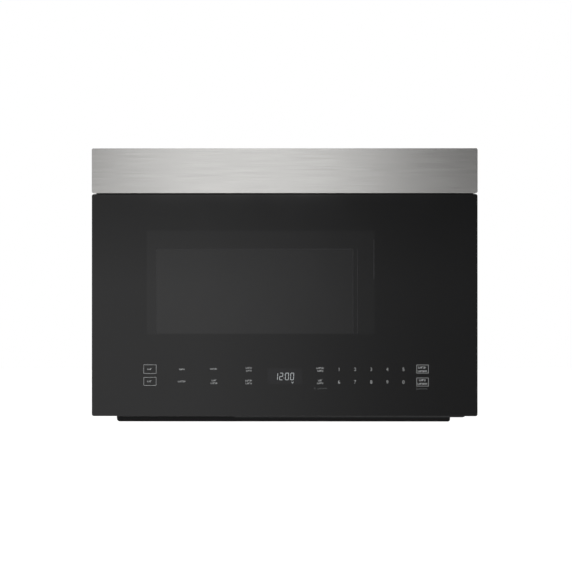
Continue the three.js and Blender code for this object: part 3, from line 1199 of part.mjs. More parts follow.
// The high voltage transformer: a stack of laminations with a coil proud on both sides, on four feet.
function transformer() {
  const seat = SHEET + CLEAR;
  const half = CORE_WIDTH / 2;
  const low = seat + 2;
  const core = block(coreX - half, coreX + half, coreY - CORE_DEPTH / 2, coreY + CORE_DEPTH / 2, low,
      low + CORE_HEIGHT);
  const base = block(coreX - half - 7, coreX + half + 7, coreY - CORE_DEPTH / 2, coreY + CORE_DEPTH / 2,
      seat, low + 0.5);
  const coil = rounded(THREE.Shape, coreX - half + 17, coreX + half - 17, low + 14, low + CORE_HEIGHT - 14,
      9);
  const body = frontCut(coil, coreY - CORE_DEPTH / 2 - COIL_PROUD, coreY + CORE_DEPTH / 2 + COIL_PROUD);
  return shown(join(core, base, body));
}

// The capacitor: an oval can lying in the pan, with two blade terminals.
function capacitor() {
  const seat = SHEET + CLEAR;
  const oval = rounded(THREE.Shape, canX - CAN_WIDTH / 2, canX + CAN_WIDTH / 2, seat, seat + CAN_THICK,
      CAN_THICK / 2.3);
  const can = frontCut(oval, canFront, canFront + canLong, 3);
  const blades = [-9, 9].map((dx) => block(canX + dx - 3, canX + dx + 3, canFront - 9, canFront + 1,
    seat + CAN_THICK / 2 - 0.5, seat + CAN_THICK / 2 + 0.5));
  return shown(join(can, ...blades));
}

// The diode on the capacitor, with its two leads.
function diode() {
  const z = SHEET + CAN_THICK + 2 * CLEAR + 3.5;
  const y = canFront + 22;
  return shown(join(bar('x', 3.5, canX - 8, canX + 8, y, z, 12),
      bar('x', 0.7, canX - 20, canX + 20, y, z, 8)));
}

// The control board on the case's side, with its relays and its small transformer, on four posts.
function controlBoard() {
  const x1 = caseHalf - SHEET - CLEAR;
  const x0 = x1 - PCB_STANDOFF - BOARD_THICK;
  const sheet = block(x0, x0 + BOARD_THICK, pcbFront, pcbFront + PCB_DEPTH, pcbLow, pcbLow + PCB_HEIGHT);
  const posts = [PCB_POST, PCB_DEPTH - PCB_POST].flatMap((dy) => [PCB_POST, PCB_HEIGHT - PCB_POST].map((dz) =>
    bar('x', 3, x0 + 1, x1, pcbFront + dy, pcbLow + dz, 8)));
  const relays = spread(RELAYS, RELAY_SPAN, pcbFront + PCB_DEPTH / 2 + RELAY_SIZE).map((y) =>
    block(x0 - RELAY_SIZE, x0 + 0.5, y - RELAY_SIZE / 2, y + RELAY_SIZE / 2, pcbLow + PCB_POST,
      pcbLow + PCB_POST + 1.4 * RELAY_SIZE));
  const supplyLow = pcbLow + PCB_HEIGHT - PCB_POST - SUPPLY_SIZE;
  const supply = block(x0 - 0.75 * SUPPLY_SIZE, x0 + 0.5, pcbFront + PCB_POST,
      pcbFront + PCB_POST + SUPPLY_SIZE,
    supplyLow, supplyLow + SUPPLY_SIZE);
  const cans = [1.4, 2, 2.6].map((step) =>
    bar('x', SUPPLY_SIZE / 6, x0 - SUPPLY_SIZE / 2, x0 + 0.5, pcbFront + PCB_POST + step * SUPPLY_SIZE,
      supplyLow + SUPPLY_SIZE / 2, 12));
  return shown(join(sheet, ...posts, ...relays, supply, ...cans));
}

// The mains filter under the case top, beside the cord's way in.
function mainsFilter() {
  const top = caseTop - SHEET - CLEAR;
  const x0 = glandX + GLAND_RADIUS + MAINS_DROP;
  const low = top - MAINS_DROP;
  const x = x0 + MAINS_WIDTH / 2;
  const board = block(x0, x0 + MAINS_WIDTH, glandY - MAINS_DEPTH / 2, glandY + MAINS_DEPTH / 2, low,
      low + BOARD_THICK);
  const posts = spread(2, MAINS_WIDTH - 12, x).flatMap((px) => spread(2, MAINS_DEPTH - 12, glandY).map((py) =>
    bar('z', 3, low + 1, top, px, py, 8)));
  const choke = bar('z', MAINS_CHOKE, low - MAINS_CHOKE * 1.4, low + 1, x, glandY - MAINS_CHOKE, 18);
  const cap = block(x - MAINS_CHOKE, x + MAINS_CHOKE, glandY + 8, glandY + 8 + MAINS_CHOKE * 0.8,
    low - MAINS_CHOKE * 1.2, low + 1);
  return shown(join(board, ...posts, choke, cap));
}

// The bush that the mains cord comes in through.
function cordGland() {
  const top = caseTop + CLEAR;
  const seat = GLAND_RADIUS - 3 - CLEAR;
  const bush = turned([[GLAND_BORE, caseTop - GLAND_LONG], [seat - 1.5, caseTop - GLAND_LONG],
    [seat, caseTop - SHEET - 2], [seat, top], [GLAND_RADIUS, top], [GLAND_RADIUS - 0.5, top + GLAND_LIP],
    [GLAND_BORE + 1, top + GLAND_LIP], [GLAND_BORE, top], [GLAND_BORE, caseTop - GLAND_LONG]], 20);
  return bush.translate(glandX, glandY, 0);
}

// The bracket behind the front frame that the latch hooks reach into, with a shelf under each hook.
function interlockBracket() {
  const y0 = frameBack + CLEAR;
  const [low, high] = hookHeights();
  const x0 = latchX - LATCH_THICK / 2 - BRACKET_ROOM;
  const x1 = bracketX;
  const ends = [low - BRACKET_BELOW, high + BRACKET_ABOVE];
  const spineLeft = block(x0 - BRACKET_WALL, x0, y0, y0 + BRACKET_DEPTH, ...ends);
  const plate = block(x1, x1 + BRACKET_WALL, y0, y0 + BRACKET_DEPTH, ...ends);
  const shelves = [low, high].map((z) => {
    const shelf = z - LATCH_BAR / 2 - 3 - 2 * CLEAR;
    return block(x0 - 1, x1 + 1, y0, y0 + LATCH_REACH, shelf - SHELF_THICK, shelf);
  });
  const rungs = [low + BRACKET_RUNG, high - BRACKET_RUNG].map((z) => block(x0 - 1, x1 + 1, y0,
      y0 + BRACKET_DEPTH, z - 3, z + 3));
  const flange = block(x1, x1 + BRACKET_FLANGE, y0, y0 + BRACKET_WALL, ...ends);
  const pivot = bar('x', LEVER_PIN, x1 + 1, leverX + LEVER_WIDTH + 2, leverY, leverZ, 10);
  return shown(join(spineLeft, plate, flange, pivot, ...shelves, ...rungs));
}

// A micro switch on the bracket's outer side, with its plunger and three blades.
function microSwitch(z) {
  const x0 = leverX;
  const y0 = frameBack + 2 * CLEAR + BRACKET_WALL + 2;
  const body = block(x0, x0 + 10, y0 + 3, y0 + 30, z - 8, z + 8);
  const plunger = block(x0 + 4, x0 + 6, y0 + 12, y0 + 15, z + 7, z + 9);
  const blades = [8, 16, 24].map((dy) => block(x0 + 4.6, x0 + 5.4, y0 + dy, y0 + dy + 5, z - 15, z - 7));
  return shown(join(body, plunger, ...blades));
}

// The lever that the lower hook holds down on its switch while the door is shut.
function interlockLever() {
  const z = leverZ;
  const x0 = leverX;
  const arm = sideCut(outline([[leverY - 4, z - 3], [leverY + 4, z - 3], [leverY + 4, z + 0.5],
    [leverY + LEVER_LONG, z + 0.5], [leverY + LEVER_LONG, z + 3],
    [leverY - 4, z + 3]]), x0, x0 + LEVER_WIDTH);
  return shown(cut(solid(arm), bar('x', LEVER_PIN + CLEAR, x0 - 1, x0 + LEVER_WIDTH + 1, leverY, z, 10)));
}

// ---- Assembly --------------------------------------------------------------------------------------
piece('wall_plate', wallPlate(), zincSteel);
piece('back_panel', backPanel(), zincSteel);
piece('case_wrap', caseWrap(), blackPaint);
piece('front_frame', frontFrame(), blackPaint);
piece('base_pan', basePan(), blackPaint);
piece('bay_divider', bayDivider(), zincSteel);
piece('trim_band', trimBand(), brushedSteel);
piece('oven_cavity', ovenCavity(), greyEnamel);
piece('mica_cover', micaCover(), mica);
piece('glass_tray', glassTray(), clearGlass);
piece('turntable_hub', turntableHub(), whitePlastic);
piece('turntable_motor', turntableMotor(), zincSteel);
piece('roller_ring', rollerRing(), whitePlastic);
rollerAngles().forEach((angle, i) => piece(`roller_${i + 1}`, roller(angle), whitePlastic));
piece('cavity_lamp', cavityLamp(), whitePlastic);
piece('cavity_thermostat', thermostat(), blackPlastic);
piece('door_glass', doorGlass(), blackGlass);
piece('door_frame', doorFrame(), blackPlastic);
piece('door_grip', doorGrip(), blackPlastic);
piece('door_screen', doorScreen(), blackPaint);
piece('door_steel', doorSteel(), greyEnamel);
piece('inner_window', innerWindow(), clearGlass);
piece('choke_cover', chokeCover(), blackPlastic);
piece('touch_board', touchBoard(), boardGreen);
piece('display_module', displayModule(), blackPlastic);
piece('latch_bar', latchBar(), whitePlastic);
piece('latch_cover', latchCover(), blackPlastic);
piece('latch_spring', latchSpring(), zincSteel);
piece('upper_hinge', hingeBracket(true), zincSteel);
piece('lower_hinge', hingeBracket(false), zincSteel);
piece('blower_scroll_left', blowerScroll(scrollLeft), zincSteel);
piece('blower_scroll_right', blowerScroll(scrollRight), zincSteel);
piece('blower_wheel_left', blowerWheel(scrollLeft + SCROLL_SIDE), zincSteel);
piece('blower_wheel_right', blowerWheel(scrollRight + SCROLL_SIDE), zincSteel);
piece('blower_shaft', blowerShaft(), zincSteel);
piece('blower_motor', blowerMotor(), zincSteel);
piece('charcoal_filter', charcoalFilter(), carbon);
piece('grease_filter_left', greaseFilter(filterLeftX), aluminium);
piece('grease_filter_right', greaseFilter(filterRightX), aluminium);
[['left', -1], ['right', 1]].forEach(([side, way]) => {
  piece(`lamp_lens_${side}`, lampLens(way * lampX), clearGlass);
  piece(`lamp_module_${side}`, lampModule(way * lampX), whitePlastic);
});
piece('waveguide', waveguide(), zincSteel);
piece('magnetron', magnetron(), zincSteel);
piece('fan_shroud', fanShroud(), blackPlastic);
piece('cooling_fan', coolingFan(), whitePlastic);
piece('fan_motor', fanMotor(), zincSteel);
piece('transformer', transformer(), copper);
piece('capacitor', capacitor(), aluminium);
piece('diode', diode(), blackPlastic);
piece('control_board', controlBoard(), boardGreen);
piece('mains_filter', mainsFilter(), boardGreen);
piece('cord_gland', cordGland(), rubber);
piece('interlock_bracket', interlockBracket(), whitePlastic);
piece('primary_switch', microSwitch(switchZ), blackPlastic);
piece('monitor_switch', microSwitch(cavityMid + LATCH_SPAN / 2 - SWITCH_DROP), blackPlastic);
piece('interlock_lever', interlockLever(), whitePlastic);

export default object;
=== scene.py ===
"""Looks of a wall-hung over the range microwave oven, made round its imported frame.

Metres, +Z up, the front towards -Y, the wall at y = 0. The sizes below are in millimetres, and heights
are measured from the underside of the base pan, as in the source of the frame.
"""

import json
import math

import bmesh
import bpy
import numpy as np
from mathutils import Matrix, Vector


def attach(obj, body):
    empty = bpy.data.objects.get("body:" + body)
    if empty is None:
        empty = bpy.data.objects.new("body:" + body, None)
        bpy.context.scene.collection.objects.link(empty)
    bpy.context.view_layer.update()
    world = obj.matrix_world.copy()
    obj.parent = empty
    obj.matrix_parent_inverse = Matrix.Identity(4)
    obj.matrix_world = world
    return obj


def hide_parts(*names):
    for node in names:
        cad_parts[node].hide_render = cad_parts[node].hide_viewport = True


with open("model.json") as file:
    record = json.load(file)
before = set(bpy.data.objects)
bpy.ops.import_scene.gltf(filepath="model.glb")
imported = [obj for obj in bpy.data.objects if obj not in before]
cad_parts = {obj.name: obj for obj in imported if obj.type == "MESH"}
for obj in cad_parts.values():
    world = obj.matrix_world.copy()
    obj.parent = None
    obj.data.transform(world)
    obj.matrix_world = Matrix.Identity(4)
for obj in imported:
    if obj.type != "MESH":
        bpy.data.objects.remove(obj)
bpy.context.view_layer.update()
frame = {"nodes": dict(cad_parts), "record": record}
nodes = frame["nodes"]
scene = bpy.context.scene

# ---- Sizes, in millimetres --------------------------------------------------------------------------
ORIGIN_RISE = 270.0  # row origin above the pan's underside
FACE_HALF = 379.5
GLASS_LOW, GLASS_TOP = 15.0, 452.0
PAN_RIGHT = 331.5  # right end of the pan's tub
FACE_Y = -340.0
GLASS_Y = FACE_Y + 0.2  # glass front, behind the print
PRINT_Y = FACE_Y + 0.06  # print front, inside the frame's box


def metres(points):
    """Millimetres with heights above the pan, as metres in the row frame: lower by the origin, over 1000."""
    points = np.asarray(points, float).reshape(-1, 3).copy()
    points[:, 2] -= ORIGIN_RISE
    return points / 1000.0


# ---- Meshes -----------------------------------------------------------------------------------------
def piece(name, points, faces, body, slot, material, replaced=(), smooth=30.0):
    """A finished piece from points in millimetres, with its finish, its body and the nodes it stands for."""
    mesh = bpy.data.meshes.new(name)
    mesh.from_pydata(metres(points), [], [tuple(face) for face in faces])
    return placed(name, mesh, body, material, replaced, smooth)


def placed(name, mesh, body, material, replaced=(), smooth=30.0):
    """Puts a mesh in the scene. Edges that turn by less than the smooth angle are shaded round."""
    facing_out(mesh)
    mesh.materials.clear()
    mesh.materials.append(material)
    made = bpy.data.objects.new(name, mesh)
    scene.collection.objects.link(made)
    mesh.set_sharp_from_angle(angle=math.radians(smooth))
    mesh.shade_smooth()
    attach(made, body)
    if replaced:
        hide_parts(*replaced)
    return made


def facing_out(mesh):
    """Recalculates the faces of closed shells so that they point outwards."""
    shell = bmesh.new()
    shell.from_mesh(mesh)
    bmesh.ops.recalc_face_normals(shell, faces=shell.faces)
    shell.to_mesh(mesh)
    shell.free()


def rounded_loop(x0, x1, z0, z1, radius, steps=6):
    """Outline of a rectangle with round corners: quarter circles about the four inset corners, in turn."""
    radius = max(min(radius, (x1 - x0) / 2, (z1 - z0) / 2), 1e-3)
    turn = np.linspace(0, math.pi / 2, steps)
    quarters = []
    for k, (cx, cz) in enumerate([(x1 - radius, z1 - radius), (x0 + radius, z1 - radius),
                                  (x0 + radius, z0 + radius), (x1 - radius, z0 + radius)]):
        angle = turn + k * math.pi / 2
        quarters.append(np.column_stack([cx + radius * np.cos(angle), cz + radius * np.sin(angle)]))
    return np.concatenate(quarters)


def joined(r, s, count):
    """Quads between loop r and loop s of count points each: every point to the next one and across."""
    k = np.arange(count)
    return np.column_stack([r * count + k, r * count + (k + 1) % count,
                            s * count + (k + 1) % count, s * count + k]).tolist()


def loft(loops):
    """Skin through a row of closed loops with a cap on each end: quads join each loop to the next one."""
    loops = np.asarray(loops, float)
    rows, count = loops.shape[:2]
    k = np.arange(count)
    faces = sum([joined(r, r + 1, count) for r in range(rows - 1)], [])
    return loops.reshape(-1, 3), faces + [k[::-1].tolist(), ((rows - 1) * count + k).tolist()]


def tube(loops):
    """Skin through a row of closed loops whose last loop joins the first, for a frame or a ring."""
    loops = np.asarray(loops, float)
    rows, count = loops.shape[:2]
    return loops.reshape(-1, 3), sum([joined(r, (r + 1) % rows, count) for r in range(rows)], [])


def merged(*parts):
    """Several (points, faces) bodies as one list of points and one of faces."""
    points, faces, start = [], [], 0
    for p, f in parts:
        points.append(np.asarray(p, float).reshape(-1, 3))
        faces += [[i + start for i in face] for face in f]
        start += len(points[-1])
    return np.concatenate(points), faces


def facing_front(outline, y):
    """A loop of (x, height) points stood up in the plane at depth y."""
    return np.column_stack([outline[:, 0], np.full(len(outline), y), outline[:, 1]])


def facing_up(outline, z):
    """A loop of (x, y) points laid in the plane at height z."""
    return np.column_stack([outline[:, 0], outline[:, 1], np.full(len(outline), z)])


def front_slab(x0, x1, z0, z1, radius, front, back, arris, steps=6):
    """Upright slab whose front and back edges are eased: its loops go in by the arris at both faces."""
    rows = [(front, arris), (front + 0.3 * arris, 0.3 * arris), (front + arris, 0.0),
            (back - arris, 0.0), (back - 0.3 * arris, 0.3 * arris), (back, arris)]
    return loft([facing_front(rounded_loop(x0 + i, x1 - i, z0 + i, z1 - i, radius - i, steps), y)
                 for y, i in rows])


def boxes(sides):
    """Plain boxes, as rows of x0, x1, y0, y1, z0, z1: eight corners each, joined by six quads."""
    sides = np.asarray(sides, float).reshape(-1, 6)
    pick = np.array([[0, 2, 4], [1, 2, 4], [1, 3, 4], [0, 3, 4], [0, 2, 5], [1, 2, 5], [1, 3, 5], [0, 3, 5]])
    quad = np.array([[0, 3, 2, 1], [4, 5, 6, 7], [0, 1, 5, 4], [1, 2, 6, 5], [2, 3, 7, 6], [3, 0, 4, 7]])
    points = sides[:, pick].reshape(-1, 3)
    faces = (quad[None] + 8 * np.arange(len(sides))[:, None, None]).reshape(-1, 4)
    return points, faces.tolist()


# ---- Finishes ---------------------------------------------------------------------------------------
def linear(code):
    """Linear colour of an sRGB hex value: each channel over 255, then the sRGB curve undone."""
    channels = np.array([int(code[i:i + 2], 16) for i in (1, 3, 5)]) / 255.0
    low, high = channels / 12.92, ((channels + 0.055) / 1.055) ** 2.4
    return tuple(np.where(channels <= 0.04045, low, high).tolist()) + (1.0,)


def add(tree, kind, inputs=None, **settings):
    """Adds a node, with its settings, and sets or links each named input."""
    made = tree.nodes.new("ShaderNode" + kind)
    for key, value in settings.items():
        setattr(made, key, value)
    for key, value in (inputs or {}).items():
        if isinstance(value, bpy.types.NodeSocket):
            tree.links.new(value, made.inputs[key])
        else:
            made.inputs[key].default_value = value
    return made


def finish(name, **sockets):
    """A material with a Principled shader whose sockets are set. Returns it, its tree and the shader."""
    made = bpy.data.materials.new(name)
    made.use_nodes = True
    shader = made.node_tree.nodes["Principled BSDF"]
    for key, value in sockets.items():
        shader.inputs[key.replace("_", " ")].default_value = value
    return made, made.node_tree, shader


def grain(tree, size, detail=3.0, stretch=(1, 1, 1), roughness=0.55):
    """Noise on Object coordinates whose features are size millimetres, longer by stretch along each axis."""
    place = add(tree, "TexCoord").outputs["Object"]
    scale = [1000.0 / (size * s) for s in stretch]
    mapped = add(tree, "Mapping", {"Vector": place, "Scale": scale})
    noise = add(tree, "TexNoise", {"Vector": mapped.outputs[0], "Scale": 1.0, "Detail": detail,
                                   "Roughness": roughness})
    return noise.outputs["Factor"] if "Factor" in noise.outputs else noise.outputs["Fac"]


def between(tree, value, low, high, start=0.3, end=0.7):
    """Two colours, mixed as the value goes from start to end."""
    share = add(tree, "MapRange", {"Value": value, "From Min": start, "From Max": end})
    mix = add(tree, "Mix", {"Factor": share.outputs[0]}, data_type="RGBA")
    mix.inputs[6].default_value, mix.inputs[7].default_value = linear(low), linear(high)
    return mix.outputs[2]


def ranged(tree, value, low, high, start=0.3, end=0.7):
    """A number that goes from low to high as the value goes from start to end."""
    return add(tree, "MapRange", {"Value": value, "From Min": start, "From Max": end,
                                  "To Min": low, "To Max": high}).outputs[0]


def relief(tree, shader, height, depth, strength=0.5):
    """Bump of depth millimetres from a height between 0 and 1."""
    bump = add(tree, "Bump", {"Height": height, "Distance": depth / 1000.0, "Strength": strength})
    tree.links.new(bump.outputs[0], shader.inputs["Normal"])


def brushed_stainless():
    """Stainless sheet brushed along its length: fine level lines, and reflections drawn out upright."""
    made, tree, shader = finish("brushed_stainless_steel", Metallic=1.0, Roughness=0.2, Anisotropic=0.95,
                                Anisotropic_Rotation=0.25)
    lines = grain(tree, 0.7, 4.0, (160, 160, 1))
    broad = grain(tree, 6.0, 2.0, (30, 30, 1))
    tree.links.new(between(tree, lines, "#BEBDBB", "#D5D4D2", 0.25, 0.75), shader.inputs["Base Color"])
    tree.links.new(ranged(tree, broad, 0.185, 0.215), shader.inputs["Roughness"])
    tangent = add(tree, "Tangent", direction_type="UV_MAP", uv_map="along")
    tree.links.new(tangent.outputs[0], shader.inputs["Tangent"])
    relief(tree, shader, lines, 0.01, 0.25)
    return made


def black_ceramic_glass():
    """Float glass, black with fired enamel on its back: a mirror-smooth face over near black."""
    made, tree, shader = finish("back_enamelled_float_glass", IOR=1.5, Roughness=0.03)
    cloud = grain(tree, 140.0, 2.0)
    tree.links.new(between(tree, cloud, "#070708", "#09090A"), shader.inputs["Base Color"])
    tree.links.new(ranged(tree, cloud, 0.025, 0.045), shader.inputs["Roughness"])
    return made


def window_glass(name, level, dark, pale):
    """The same glass where the enamel is a field of fine dots: a shade lighter, most so over the screen."""
    made, tree, shader = finish(name, IOR=1.5, Roughness=0.05, Specular_IOR_Level=level)
    cloud = grain(tree, 90.0, 2.0)
    tree.links.new(between(tree, cloud, dark, pale), shader.inputs["Base Color"])
    tree.links.new(ranged(tree, cloud, 0.04, 0.06), shader.inputs["Roughness"])
    return made


def ground_edge():
    """Ground and blackened edge of the glass: matt, so it draws no bright line round the door."""
    made, tree, shader = finish("ground_glass_edge", IOR=1.5, Roughness=0.45, Specular_IOR_Level=0.25)
    grit = grain(tree, 0.8, 2.0)
    tree.links.new(between(tree, grit, "#060607", "#0C0C0D"), shader.inputs["Base Color"])
    relief(tree, shader, grit, 0.02, 0.3)
    return made


def moulded_abs():
    """ABS moulded in a spark-eroded tool: a fine even grain that breaks up highlights."""
    made, tree, shader = finish("moulded_black_abs", IOR=1.53, Roughness=0.46, Specular_IOR_Level=0.32)
    fine = grain(tree, 0.5, 2.0)
    broad = grain(tree, 60.0, 2.0)
    tree.links.new(between(tree, broad, "#0E0F11", "#131417"), shader.inputs["Base Color"])
    tree.links.new(ranged(tree, fine, 0.4, 0.54), shader.inputs["Roughness"])
    relief(tree, shader, fine, 0.04, 0.35)
    return made


def powder_coat():
    """Steel sheet with baked black powder paint: a low sheen with a slight orange peel."""
    made, tree, shader = finish("black_powder_coated_steel", IOR=1.5, Roughness=0.42)
    peel = grain(tree, 1.6, 2.0)
    dust = grain(tree, 45.0, 3.0)
    tree.links.new(between(tree, dust, "#151517", "#18181A"), shader.inputs["Base Color"])
    tree.links.new(ranged(tree, dust, 0.41, 0.45), shader.inputs["Roughness"])
    relief(tree, shader, peel, 0.05, 0.4)
    return made


def pan_coat():
    """Matt black powder paint of the base pan: coarser than the case's, and with less sheen. Its black is
    darker than the case's as painted shade, for the shade the door casts on the pan.
    """
    made, tree, shader = finish("matt_black_pan_coating_with_painted_shade", IOR=1.5, Roughness=0.5, Specular_IOR_Level=0.14)
    peel = grain(tree, 1.2, 2.0)
    dust = grain(tree, 45.0, 3.0)
    # Darker black than the case paint: painted shade for the shade the door casts on the pan.
    tree.links.new(between(tree, dust, "#0A0A0B", "#101011"), shader.inputs["Base Color"])
    tree.links.new(ranged(tree, dust, 0.44, 0.56), shader.inputs["Roughness"])
    relief(tree, shader, peel, 0.05, 0.4)
    return made


def galvanised():
    """Hot dipped zinc on steel sheet: grey metal with frosted spangles about 9 mm across."""
    made, tree, shader = finish("hot_dipped_galvanised_steel", Metallic=0.9, Roughness=0.42)
    place = add(tree, "TexCoord").outputs["Object"]
    cells = add(tree, "TexVoronoi", {"Vector": place, "Scale": 1000.0 / 9.0})
    shade = add(tree, "SeparateColor", {"Color": cells.outputs["Color"]}).outputs[0]
    tree.links.new(between(tree, shade, "#8E9193", "#A2A5A7", 0.0, 1.0), shader.inputs["Base Color"])
    tree.links.new(ranged(tree, shade, 0.4, 0.48, 0.0, 1.0), shader.inputs["Roughness"])
    relief(tree, shader, grain(tree, 3.0), 0.03, 0.3)
    return made


def grey_enamel():
    """Acrylic cavity paint on steel: warm light grey, glossy, with faint flecks."""
    made, tree, shader = finish("baked_grey_cavity_enamel", IOR=1.5, Roughness=0.3, Coat_Weight=0.3)
    flecks = grain(tree, 1.1, 2.0)
    tree.links.new(between(tree, flecks, "#8B8C8A", "#9B9C9A", 0.35, 0.65), shader.inputs["Base Color"])
    relief(tree, shader, grain(tree, 2.2), 0.03, 0.3)
    return made


def pressed_glass():
    """Soda glass pressed in a mould: clear, faintly green, with a soft waviness."""
    made, tree, shader = finish("pressed_soda_glass", IOR=1.52, Roughness=0.06, Transmission_Weight=1.0)
    wave = grain(tree, 14.0, 2.0)
    tree.links.new(between(tree, wave, "#DDE6E2", "#EAF1EE"), shader.inputs["Base Color"])
    relief(tree, shader, wave, 0.15, 0.25)
    return made


def frosted_lens():
    """Tempered glass with a frosted inner face: milky over the lamps, bright where light comes through."""
    made, tree, shader = finish("frosted_lamp_glass", IOR=1.5, Roughness=0.28, Transmission_Weight=0.35)
    frost = grain(tree, 0.9, 3.0)
    tree.links.new(between(tree, frost, "#D2D5D3", "#E4E6E4"), shader.inputs["Base Color"])
    relief(tree, shader, frost, 0.08, 0.5)
    return made


def moulded_white():
    """Heat-proof white polymer, moulded: warm white with a satin face."""
    made, tree, shader = finish("moulded_white_polymer", IOR=1.5, Roughness=0.4, Subsurface_Weight=0.05)
    fine = grain(tree, 0.7, 2.0)
    tree.links.new(between(tree, fine, "#DAD6CB", "#E6E2D8"), shader.inputs["Base Color"])
    relief(tree, shader, fine, 0.03, 0.3)
    return made


def mica_sheet():
    """Pressed mica: layered silver brown flakes with a pearly sheen."""
    made, tree, shader = finish("pressed_mica_sheet", IOR=1.58, Roughness=0.34, Coat_Weight=0.2)
    flakes = grain(tree, 5.0, 5.0, (1, 1, 0.6), 0.7)
    tree.links.new(between(tree, flakes, "#6F604A", "#A39272"), shader.inputs["Base Color"])
    tree.links.new(ranged(tree, flakes, 0.26, 0.45), shader.inputs["Roughness"])
    return made


def bare_aluminium():
    """Mill finish aluminium: pale soft metal with rolling lines."""
    made, tree, shader = finish("mill_finish_aluminium", Metallic=1.0, Roughness=0.34)
    lines = grain(tree, 0.8, 3.0, (1, 60, 1))
    tree.links.new(between(tree, lines, "#B9BABB", "#D3D4D4"), shader.inputs["Base Color"])
    tree.links.new(ranged(tree, lines, 0.28, 0.42), shader.inputs["Roughness"])
    return made


def charcoal_grains():
    """Activated charcoal pellets, 3 mm, behind the filter's grid: matt black crumbs, darker towards the
    crevices between them as painted shade.
    """
    made, tree, shader = finish("activated_charcoal_pellets", IOR=1.5, Roughness=0.85)
    place = add(tree, "TexCoord").outputs["Object"]
    cells = add(tree, "TexVoronoi", {"Vector": place, "Scale": 1000.0 / 3.0})
    # Black that darkens from each pellet's middle to its edge: painted shade in the crevices between pellets.
    tree.links.new(between(tree, cells.outputs["Distance"], "#1B1B1A", "#070707", 0.1, 0.8),
                   shader.inputs["Base Color"])
    relief(tree, shader, cells.outputs["Distance"], 1.2, 0.8)
    return made


def enamelled_copper():
    """Copper magnet wire under clear enamel: close turns 0.8 mm apart, warm and glossy."""
    made, tree, shader = finish("enamelled_copper_wire", Metallic=0.9, Roughness=0.3, Coat_Weight=0.4)
    turns = grain(tree, 0.8, 1.0, (40, 40, 1))
    tree.links.new(between(tree, turns, "#7A3B1E", "#B9683A"), shader.inputs["Base Color"])
    relief(tree, shader, turns, 0.2, 0.6)
    return made


def solder_mask():
    """Glass fibre circuit board under green solder mask: tracks show as slightly lighter lines."""
    made, tree, shader = finish("solder_masked_circuit_board", IOR=1.5, Roughness=0.35)
    tracks = grain(tree, 3.0, 1.0, (1, 1, 5))
    tree.links.new(between(tree, tracks, "#0E3B22", "#1C5A34", 0.48, 0.52), shader.inputs["Base Color"])
    relief(tree, shader, tracks, 0.05, 0.5)
    return made


def soft_rubber():
    """Black EPDM rubber: matt, with a grey bloom."""
    made, tree, shader = finish("moulded_black_rubber", IOR=1.52, Roughness=0.72)
    bloom = grain(tree, 8.0, 3.0)
    tree.links.new(between(tree, bloom, "#111111", "#1D1D1E"), shader.inputs["Base Color"])
    relief(tree, shader, grain(tree, 0.6), 0.03, 0.4)
    return made


def screen_ink():
    """Pale grey ceramic ink, screen printed: matt, with edges that are never quite even."""
    made, tree, shader = finish("screen_printed_grey_ink", Roughness=0.55)
    cover = grain(tree, 0.6, 2.0)
    tree.links.new(between(tree, cover, "#B9BBBC", "#C9CBCC"), shader.inputs["Base Color"])
    return made


def lit_digits():
    """White light-emitting segments behind the glass."""
    made, tree, shader = finish("lit_white_segments", Roughness=0.5, Emission_Strength=0.6)
    glow = grain(tree, 4.0, 2.0)
    tree.links.new(between(tree, glow, "#26282A", "#303234"), shader.inputs["Base Color"])
    tree.links.new(between(tree, glow, "#DDE3E6", "#F2F6F8"), shader.inputs["Emission Color"])
    return made


def window_line(name, dark, pale):
    """A fine grey line in the dark glass. In darker greys it is the edge of the screen behind the window; in
    lighter greys it is a painted highlight along the window's edge.
    """
    made, tree, shader = finish(name, Roughness=0.3)
    along = grain(tree, 120.0, 1.0)
    tree.links.new(between(tree, along, dark, pale), shader.inputs["Base Color"])
    return made


def faint_ink():
    """The same ink in a dimmer grey for the smallest print."""
    made, tree, shader = finish("dim_grey_ink", Roughness=0.55)
    cover = grain(tree, 0.6, 2.0)
    tree.links.new(between(tree, cover, "#5C5E5F", "#6A6C6D"), shader.inputs["Base Color"])
    return made


def display_field():
    """Smoked field over the clock: a shade lighter than the enamel round it, and as smooth."""
    made, tree, shader = finish("smoked_display_field", IOR=1.5, Roughness=0.04)
    cloud = grain(tree, 30.0, 2.0)
    tree.links.new(between(tree, cloud, "#121214", "#161618"), shader.inputs["Base Color"])
    return made


def perforated_screen():
    """Black painted steel with 1.3 mm holes 2.1 mm apart, drawn as an even lattice of darker dots."""
    made, tree, shader = finish("perforated_black_screen", IOR=1.5, Roughness=0.4)
    place = add(tree, "TexCoord").outputs["Object"]
    pitch = (1000 / 2.1, 0, 1000 / 2.1)
    scaled = add(tree, "VectorMath", {0: place, 1: pitch}, operation="MULTIPLY").outputs[0]
    cell = add(tree, "VectorMath", {0: scaled}, operation="FRACTION").outputs[0]
    middle = add(tree, "VectorMath", {0: cell, 1: (0.5, 0, 0.5)}, operation="SUBTRACT").outputs[0]
    reach = add(tree, "VectorMath", {0: middle}, operation="LENGTH").outputs["Value"]
    tree.links.new(between(tree, reach, "#030303", "#2A2A2C", 0.28, 0.34), shader.inputs["Base Color"])
    return made


def aluminium_wool():
    """Layers of crumpled aluminium mesh inside the filter: bright crossing threads about 1.5 mm apart, with
    painted shade in the dark grey gaps between them.
    """
    made, tree, shader = finish("layered_aluminium_mesh", Metallic=0.9, Roughness=0.45)
    place = add(tree, "TexCoord").outputs["Object"]
    cells = add(tree, "TexVoronoi", {"Vector": place, "Scale": 1000.0 / 2.2}, feature="DISTANCE_TO_EDGE")
    # The dark grey away from the threads is painted shade of the deeper layers; the pale grey is the threads'
    # own metal.
    tree.links.new(between(tree, cells.outputs["Distance"], "#B5B7B8", "#3A3B3C", 0.04, 0.22),
                   shader.inputs["Base Color"])
    relief(tree, shader, cells.outputs["Distance"], 0.8, 0.8)
    return made


